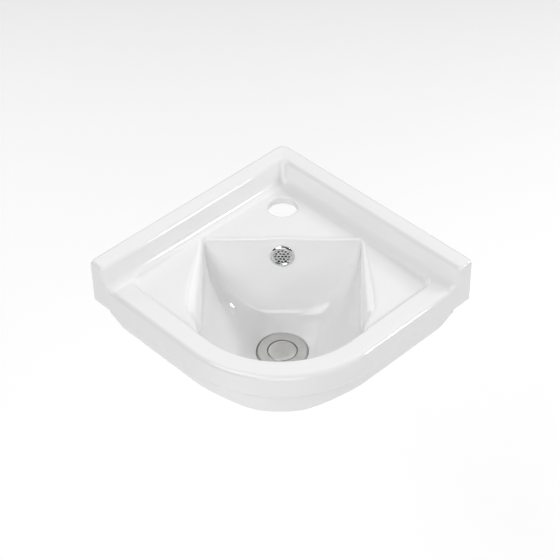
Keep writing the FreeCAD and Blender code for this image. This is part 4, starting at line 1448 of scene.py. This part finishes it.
@dataclass
class Overflow(Assembly):
    """The bezel, its sprung tube, the grate and the washer behind it."""

    back: float = PLAN.overflow_back
    drop: float = PLAN.overflow_drop
    tilt: float = PLAN.overflow_tilt
    ring: tuple[Corner, ...] = (
        (9.8, -14.5, 0.1),
        (10.7, -14.5, 0.1),
        (11.4, -13.8, 0.1),
        (11.4, -12.4, 0.1),
        (10.7, -12.4, 0.1),
        (10.7, 0.3, 0.2),
        (14.6, 0.3, 0.1),
        (14.6, 1.5, 0.4),
        (13.2, 2.8, 0.9),
        (11.2, 2.8, 0.6),
        (10.4, 2.0, 0.2),
        (10.4, 0.2, 0.1),
        (9.8, 0.2, 0.1),
    )
    slot_low: tuple[float, float, float] = (-2.5, -20.0, -16.0)
    slot_high: tuple[float, float, float] = (2.5, 20.0, -2.0)
    disc_radius: float = 10.4
    disc_thickness: float = 0.5
    disc_out: float = 1.2
    disc_angle: float = 35.0
    hole_radius: float = 1.5
    inner_ring: float = 4.1
    outer_ring: float = 7.9
    lip: float = 0.12

    def place(self) -> Matrix:
        """Return the matrix that leans the axis out of the hole into the bowl."""
        lean = Matrix.Rotation(QUARTER - self.tilt, 4, "X")
        return Matrix.Translation(Vector((0.0, -self.back, -self.drop)) * MM) @ lean

    def build(self) -> None:
        """Make the ring with its slotted tube and the perforated disc."""
        ring = Lathe(self.place()).turn("overflow_ring", self.ring)
        for turn in (math.pi / 4, math.pi * 3 / 4):
            across = self.place() @ Matrix.Rotation(turn, 4, "Z")
            ring = cut(ring, block("tube_slot", self.slot_low, self.slot_high, across))
        self.hand_over(weigh_normals(ring), "basin_assembly", Finish.BRIGHT_PLATE, "overflow_bezel")
        disc = self.perforated_disc()
        disc.data.transform(self.place() @ Matrix.Translation((0.0, 0.0, self.disc_out * MM)))
        disc = weigh_normals(disc, self.disc_angle)
        self.hand_over(disc, "basin_assembly", Finish.BRIGHT_PLATE, "overflow_grate")
        self.dress_node("overflow_washer", Finish.CLEAR_RUBBER)

    def perforated_disc(self) -> bpy.types.Object:
        """Punch one, six and twelve holes in a disc and roll a lip round each.

        Returns:
            The disc, flat about the upright axis.
        """
        sizes = {
            "Disc Radius": self.disc_radius * MM,
            "Thickness": self.disc_thickness * MM,
            "Hole Radius": self.hole_radius * MM,
            "Inner Ring": self.inner_ring * MM,
            "Outer Ring": self.outer_ring * MM,
            "Lip": self.lip * MM,
        }
        tree = RepeatTree("overflow_disc", self.finishes[Finish.BRIGHT_PLATE], sizes)
        add, size = tree.graph.add, tree.size
        disc, punch = (
            add(
                "GeometryNodeMeshCylinder",
                {"fill_type": "NGON"},
                {"Vertices": sides, "Radius": size(radius), "Depth": depth},
            )
            for sides, radius, depth in (
                (96, "Disc Radius", size("Thickness")),
                (24, "Hole Radius", size("Thickness") * 3.0),
            )
        )
        middle = add("GeometryNodeMeshLine", None, {"Count": 1})
        rings = [
            add("GeometryNodeMeshCircle", None, {"Vertices": count, "Radius": size(label)})
            for count, label in ((6, "Inner Ring"), (12, "Outer Ring"))
        ]
        spots = tree.graph.merge(middle, *rings)
        punches = add("GeometryNodeInstanceOnPoints", None, {"Points": spots, "Instance": punch})
        real = add("GeometryNodeRealizeInstances", None, {"Geometry": punches})
        holed = add(
            "GeometryNodeMeshBoolean",
            {"operation": "DIFFERENCE", "solver": "EXACT"},
            {"Mesh 1": disc, "Mesh 2": real},
        )
        loop, bead = (
            add("GeometryNodeCurvePrimitiveCircle", None, {"Resolution": sides, "Radius": size(radius)})
            for sides, radius in ((24, "Hole Radius"), (8, "Lip"))
        )
        lip = add("GeometryNodeCurveToMesh", None, {"Curve": loop, "Profile Curve": bead})
        height = size("Thickness") * 0.5 - size("Lip") * 0.5
        lift = add("ShaderNodeCombineXYZ", None, {"Z": height})
        raised = add("GeometryNodeTransform", None, {"Geometry": lip, "Translation": lift})
        lips = add("GeometryNodeInstanceOnPoints", None, {"Points": spots, "Instance": raised})
        return tree.piece(tree.graph.merge(holed, lips))


@dataclass
class Waste(Assembly):
    """The flanged tail, what clamps it in the china, and the push-button plug."""

    back: float = PLAN.waste_back
    top: float = -109.4
    flange: float = 29.8
    flange_floor: float = -112.0
    throat: float = 17.6
    tail: float = 20.955
    root: float = 19.476
    tail_bore: float = 17.4
    tail_floor: float = -176.0
    thread_top: float = -138.0
    groove: tuple[float, float] = (-157.5, -156.0)
    groove_root: float = 19.4
    window_low: tuple[float, float, float] = (-4.5, -40.0, -131.0)
    window_high: tuple[float, float, float] = (4.5, 40.0, -119.0)
    pitch: float = 2.309
    thread_inset: float = 0.6
    ridge_sink: float = 0.15
    ridge_foot: float = 0.92
    ridge_crown: float = 0.16
    hub: tuple[Corner, ...] = (
        (4.0, -156.0, 0.2),
        (8.0, -156.0, 0.6),
        (8.0, -152.0, 0.6),
        (4.0, -152.0, 0.2),
    )
    arm_low: tuple[float, float, float] = (7.0, -2.0, -156.0)
    arm_high: tuple[float, float, float] = (19.0, 2.0, -152.0)
    arm_edge: float = 0.5
    cap: tuple[Corner, ...] = (
        (0.0, -114.8, 0.0),
        (3.0, -114.8, 0.1),
        (3.0, -119.8, 0.1),
        (9.0, -119.8, 0.3),
        (9.0, -112.3, 0.2),
        (16.9, -112.3, 0.3),
        (16.9, -110.3, 0.3),
        (16.3, -109.7, 0.5),
        (13.0, -109.42, 6.0),
        (8.7, -109.25, 6.0),
        (4.0, -109.14, 4.0),
        (0.0, -109.1, 0.0),
    )
    cone: tuple[Corner, ...] = (
        (21.1, -145.0, 0.2),
        (28.0, -145.0, 0.8),
        (28.0, -140.3, 1.0),
        (25.4, -138.0, 0.6),
        (22.85, -138.0, 0.3),
        (21.4, -135.0, 0.4),
        (21.1, -135.0, 0.1),
    )
    nut_across: float = 54.0
    nut_bore: float = 21.1
    nut_floor: float = -156.0
    nut_height: float = 9.0
    nut_inset: float = 0.6
    nut_slope: float = 2.0
    nut_edge: float = 0.5
    nut_sides: int = 144
    nut_steps: int = 6
    nut_angle: float = 25.0
    kept: tuple[tuple[str, Finish], ...] = (
        ("flange_washer", Finish.CLEAR_RUBBER),
        ("slip_washer", Finish.WHITE_PLASTIC),
        ("plug_seal", Finish.BLACK_RUBBER),
        ("plunger", Finish.BRASS),
        ("cartridge_sleeve", Finish.BRASS),
        ("cam_rotor", Finish.WHITE_PLASTIC),
        ("cartridge_spring", Finish.SPRING_STEEL),
        ("cartridge_locknut", Finish.BRASS),
    )

    def axis(self, turn: float = 0.0, height: float = 0.0) -> Matrix:
        """Return the matrix that sets a piece on the waste's axis, turned and raised."""
        return Matrix.Translation((0.0, -self.back * MM, height * MM)) @ Matrix.Rotation(turn, 4, "Z")

    def build(self) -> None:
        """Make every piece of the waste."""
        lathe = Lathe(self.axis())
        made = join("waste_body_plated", [self.flanged_tail(lathe), *self.threads(), self.spider(lathe)])
        self.hand_over(made, "basin_assembly", Finish.SATIN_PLATE, "waste_body")
        cap = weigh_normals(lathe.turn("plug_cap_plated", self.cap))
        self.hand_over(cap, "plug", Finish.SATIN_PLATE, "plug_cap")
        cone = weigh_normals(lathe.turn("cone_washer_moulded", self.cone))
        self.hand_over(cone, "basin_assembly", Finish.BLACK_RUBBER, "cone_washer")
        self.hand_over(self.backnut(), "basin_assembly", Finish.BRASS, "backnut")
        for node, slot in self.kept:
            self.dress_node(node, slot)

    def flanged_tail(self, lathe: Lathe) -> bpy.types.Object:
        """Turn the flange and tail and cut the windows that let the overflow's water in.

        Args:
            lathe: The lathe on the waste's axis.

        Returns:
            The tail without its threads.
        """
        low, high = self.groove
        section = [
            (self.tail_bore, self.tail_floor, 0.3),
            (self.root, self.tail_floor, 0.2),
            (self.root, low, 0.1),
            (self.groove_root, low, 0.02),
            (self.groove_root, high, 0.02),
            (self.root, high, 0.1),
            (self.root, -138.2, 0.3),
            (self.tail, -137.0, 0.3),
            (self.tail, self.flange_floor, 0.3),
            (self.flange, self.flange_floor, 0.2),
            (self.flange, -111.1, 0.5),
            (28.1, self.top, 1.2),
            (17.9, self.top, 0.25),
            (self.throat, self.top - 0.5, 0.1),
            (self.throat, -114.4, 0.3),
            (15.0, -117.9, 0.4),
            (15.0, -118.7, 0.2),
            (self.tail_bore, -118.7, 0.2),
        ]
        made = lathe.turn("waste_tail", section)
        for turn in (0.0, QUARTER):
            made = cut(made, block("window", self.window_low, self.window_high, self.axis(turn)))
        return weigh_normals(made)

    def threads(self) -> list[bpy.types.Object]:
        """Wind the thread for the trap and the one for the backnut, on both sides of the groove.

        Returns:
            The two ridges.
        """
        low, high = self.groove
        spans = {"trap_thread": (self.tail_floor, low), "nut_thread": (high, self.thread_top)}
        ridges = []
        for name, (start, end) in spans.items():
            ridge = self.ridge(name, (end - start - 2 * self.thread_inset) / self.pitch)
            ridge.data.transform(self.axis(height=start + self.thread_inset))
            ridges.append(ridge)
        return ridges

    def ridge(self, name: str, turns: float) -> bpy.types.Object:
        """Wind a thread's ridge about the upright axis, from height 0 upwards.

        Args:
            name: The piece's name.
            turns: Number of turns.

        Returns:
            The ridge.
        """
        sizes = {
            "Root Radius": (self.root - self.ridge_sink) * MM,
            "Ridge Height": (self.tail - self.root + self.ridge_sink) * MM,
            "Pitch": self.pitch * MM,
            "Turns": turns,
        }
        tree = RepeatTree(name, self.finishes[Finish.SATIN_PLATE], sizes)
        add, size = tree.graph.add, tree.size
        path = add(
            "GeometryNodeCurveSpiral",
            None,
            {
                "Resolution": 64,
                "Rotations": size("Turns"),
                "Start Radius": size("Root Radius"),
                "End Radius": size("Root Radius"),
                "Height": size("Pitch") * size("Turns"),
                "Reverse": False,
            },
        )
        upright = add("GeometryNodeSetCurveNormal", {"mode": "Z_UP"}, {"Curve": path})
        section = add(
            "GeometryNodeCurvePrimitiveQuadrilateral",
            {"mode": "TRAPEZOID"},
            {
                "Height": size("Ridge Height"),
                "Bottom Width": size("Pitch") * self.ridge_foot,
                "Top Width": size("Pitch") * self.ridge_crown,
                "Offset": 0.0,
            },
        )
        shift = add("ShaderNodeCombineXYZ", None, {"X": size("Ridge Height") * -0.5})
        turned = add(
            "GeometryNodeTransform",
            None,
            {"Geometry": section, "Translation": shift, "Rotation": (0.0, 0.0, QUARTER)},
        )
        swept = {"Curve": upright, "Profile Curve": turned, "Fill Caps": True}
        return tree.piece(add("GeometryNodeCurveToMesh", None, swept), smooth=False)

    def spider(self, lathe: Lathe) -> bpy.types.Object:
        """Make the four-armed spider with its hub, which carries the cartridge.

        Args:
            lathe: The lathe on the waste's axis.

        Returns:
            The spider.
        """
        pieces = [lathe.turn("spider_hub", self.hub)]
        for turn in range(4):
            arm = block("spider_arm", self.arm_low, self.arm_high, self.axis(turn * QUARTER))
            edge = arm.modifiers.new("edge", "BEVEL")
            edge.width = self.arm_edge * MM
            edge.segments = 3
            pieces.append(settle(arm))
        return join("spider", pieces)

    def backnut(self) -> bpy.types.Object:
        """Make the hexagon nut, whose corners are turned down at both ends.

        Returns:
            The nut.
        """
        flat, around = self.nut_across / 2, self.nut_sides
        angles = np.arange(around) * 2 * math.pi / around
        wedge = (angles + math.pi / 6) % (math.pi / 3) - math.pi / 6
        hexagon = flat / np.cos(wedge)
        fall = hexagon.max() - flat + self.nut_inset
        ends = [0.0, *(fall * 0.5 * k / self.nut_steps for k in range(1, self.nut_steps + 1))]
        levels = [*ends, self.nut_height / 2, *(self.nut_height - level for level in ends[::-1])]
        rings = []
        for level in levels:
            from_end = min(level, self.nut_height - level)
            turned = flat - self.nut_inset + self.nut_slope * from_end
            rings.append((np.minimum(hexagon, turned), self.nut_floor + level))
        top = self.nut_floor + self.nut_height
        mouth, edge = self.nut_bore + self.nut_edge, self.nut_edge
        bored = ((mouth, top), (self.nut_bore, top - edge), (self.nut_bore, self.nut_floor + edge))
        rings += [(np.full(around, r), z) for r, z in (*bored, (mouth, self.nut_floor))]
        points = np.concatenate(
            [np.stack([r * np.cos(angles), r * np.sin(angles), np.full(around, z)], 1) for r, z in rings]
        )
        numbers = np.arange(len(points)).reshape(len(rings), around)
        above, beside = np.roll(numbers, -1, axis=0), np.roll(numbers, -1, axis=1)
        corners = np.stack([numbers, beside, np.roll(above, -1, axis=1), above], axis=2)
        made = mesh_object("backnut_turned", points, corners.reshape(-1, 4).tolist())
        made.data.transform(self.axis())
        return weigh_normals(made, self.nut_angle)


@dataclass
class Bushes(Assembly):
    """The flanged bushes that centre the wall bolts in their slots."""

    along: float = PLAN.bolt_along
    drop: float = PLAN.bolt_drop
    around: int = 64
    section: tuple[Corner, ...] = (
        (5.5, 1.0, 0.3),
        (10.7, 1.0, 0.6),
        (10.7, 12.0, 0.05),
        (17.0, 12.0, 0.3),
        (17.0, 15.0, 0.8),
        (5.5, 15.0, 0.5),
    )

    def build(self) -> None:
        """Turn one bush for each wall."""
        for label, side in (("right", 1.0), ("left", -1.0)):
            inward = Vector((-side, -1.0, 0.0)).normalized()
            lean = Vector((0.0, 0.0, 1.0)).rotation_difference(inward).to_matrix().to_4x4()
            spot = Vector((side * self.along / ROOT2, -self.along / ROOT2, -self.drop)) * MM
            lathe = Lathe(Matrix.Translation(spot) @ lean, self.around)
            bush = weigh_normals(lathe.turn(f"{label}_bush_moulded", self.section))
            self.hand_over(bush, "basin_assembly", Finish.WHITE_PLASTIC, f"{label}_bolt_bush")


# ---------------------------------------------------------------- studio
@dataclass(frozen=True)
class SoftBox:
    """One soft light: the direction that it shines from, its size and its brightness."""

    name: str
    azimuth: float
    elevation: float
    width: float
    strength: float
    distance: float = 2.6


@dataclass
class Studio:
    """The floor, the soft light and the camera."""

    aim: tuple[float, float, float] = (-2.2, -176.1, -33.2)
    away: float = 2027.0
    yaw: float = 0.026
    elevation: float = 0.731
    roll: float = -0.019
    focal_pixels: float = 1768.2
    frame_pixels: float = 560.0
    sensor: float = 36.0
    far_clip: float = 50.0
    floor_drop: float = 0.85
    floor_radius: float = 40.0
    sky: float = 0.02
    boxes: tuple[SoftBox, ...] = (
        SoftBox("front_left_box", 225.0, 52.0, 1.8, 29.2),
        SoftBox("front_box", 180.0, 22.0, 1.8, 26.3),
        SoftBox("back_box", 0.0, 52.0, 1.8, 8.2),
        SoftBox("back_right_box", 45.0, 52.0, 1.8, 8.4),
        SoftBox("low_right_box", 45.0, 22.0, 1.8, 15.2),
        SoftBox("low_left_box", 315.0, 22.0, 1.8, 20.2),
        SoftBox("right_lamp", 98.0, 34.0, 0.35, 12.3),
        SoftBox("right_back_lamp", 74.0, 33.0, 0.35, 11.8),
    )

    def build(self) -> None:
        """Lay the floor, hang the lights and set the camera."""
        self.lay_floor()
        self.light_sky()
        for box in self.boxes:
            self.hang(box)
        self.set_camera()
        bpy.context.scene.view_settings.view_transform = "Standard"
        LOG.info("studio: a floor, %d soft lights and a camera", len(self.boxes))

    def lay_floor(self) -> None:
        """Lay a wide round floor below the basin."""
        shape = bmesh.new()
        bmesh.ops.create_circle(shape, cap_ends=True, segments=96, radius=self.floor_radius)
        floor = shape_object("studio_floor", shape)
        floor.data.transform(Matrix.Translation((0.0, 0.0, -self.floor_drop)))
        floor.data.materials.append(StudioPaint().make())

    def light_sky(self) -> None:
        """Fill the studio with even white light."""
        world = bpy.data.worlds.new("studio")
        world.use_nodes = True
        white = {"Color": (1.0, 1.0, 1.0, 1.0), "Strength": self.sky}
        Graph(world.node_tree).feed(world.node_tree.nodes["Background"], white)
        bpy.context.scene.world = world

    def hang(self, box: SoftBox) -> None:
        """Hang one soft light so that it faces the basin.

        Args:
            box: The light.
        """
        around, up = math.radians(box.azimuth), math.radians(box.elevation)
        towards = Vector((math.sin(around) * math.cos(up), math.cos(around) * math.cos(up), math.sin(up)))
        lamp = bpy.data.lights.new(box.name, "AREA")
        lamp.shape = "DISK"
        lamp.size = box.width
        lamp.energy = box.strength
        made = add_object(box.name, lamp)
        made.location = Vector(self.aim) * MM + towards * box.distance
        made.rotation_euler = towards.to_track_quat("Z", "Y").to_euler()

    def set_camera(self) -> None:
        """Set the camera at the photograph's viewing angle."""
        level = math.cos(self.elevation)
        ahead = Vector((-math.sin(self.yaw) * level, math.cos(self.yaw) * level, -math.sin(self.elevation)))
        right = ahead.cross(Vector((0.0, 0.0, 1.0))).normalized()
        up = right.cross(ahead)
        leaned = right * math.cos(self.roll) + up * math.sin(self.roll)
        lifted = up * math.cos(self.roll) - right * math.sin(self.roll)
        turned = Matrix((leaned, lifted, -ahead)).transposed().to_4x4()
        camera = bpy.data.cameras.new("camera")
        camera.sensor_width = self.sensor
        camera.lens = self.focal_pixels / self.frame_pixels * self.sensor
        camera.clip_end = self.far_clip
        made = add_object("camera", camera)
        made.matrix_world = Matrix.Translation((Vector(self.aim) - ahead * self.away) * MM) @ turned
        bpy.context.scene.camera = made


# ---------------------------------------------------------------- all together
def make_finishes() -> dict[Finish, bpy.types.Material]:
    """Make one material for each slot.

    Returns:
        The materials by slot.
    """
    bezel = {
        "centre": (0.0, -PLAN.overflow_back * MM, -PLAN.overflow_drop * MM),
        "turn": (QUARTER - PLAN.overflow_tilt, 0.0, 0.0),
        # The bezel's plate is painted near black behind its face: painted shade inside the overflow's hole.
        "painted_shade": 0.95,
    }
    pale = (0.84, 0.84, 0.82)
    finishes = {
        Finish.CHINA: Glaze(),
        Finish.BRIGHT_PLATE: Plate("bright_chrome", (0.9, 0.905, 0.91), 0.06, 0.0000015, **bezel),
        Finish.SATIN_PLATE: Plate("satin_chrome", (0.66, 0.655, 0.64), 0.22, 0.000004),
        Finish.BRASS: Brass(),
        Finish.CLEAR_RUBBER: Moulding("soft_clear", (0.78, 0.78, 0.75), pale, 0.35, 0.000006),
        Finish.BLACK_RUBBER: Moulding(
            "black_rubber", (0.02, 0.02, 0.021), (0.045, 0.045, 0.045), 0.5, 0.00001
        ),
        Finish.WHITE_PLASTIC: Moulding("white_plastic", (0.8, 0.8, 0.78), pale, 0.32, 0.000006),
        Finish.SPRING_STEEL: Plate("drawn_wire", (0.52, 0.52, 0.54), 0.16, 0.000002),
    }
    return {slot: finish.make() for slot, finish in finishes.items()}


def main() -> None:
    """Build each sub-assembly in order, then the studio."""
    logging.basicConfig(level=logging.INFO, format="%(name)s: %(message)s")
    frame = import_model()
    finishes = make_finishes()
    for assembly in (China, Overflow, Waste, Bushes):
        assembly(frame, finishes).build()
    Studio().build()


if __name__ == "__main__":
    main()
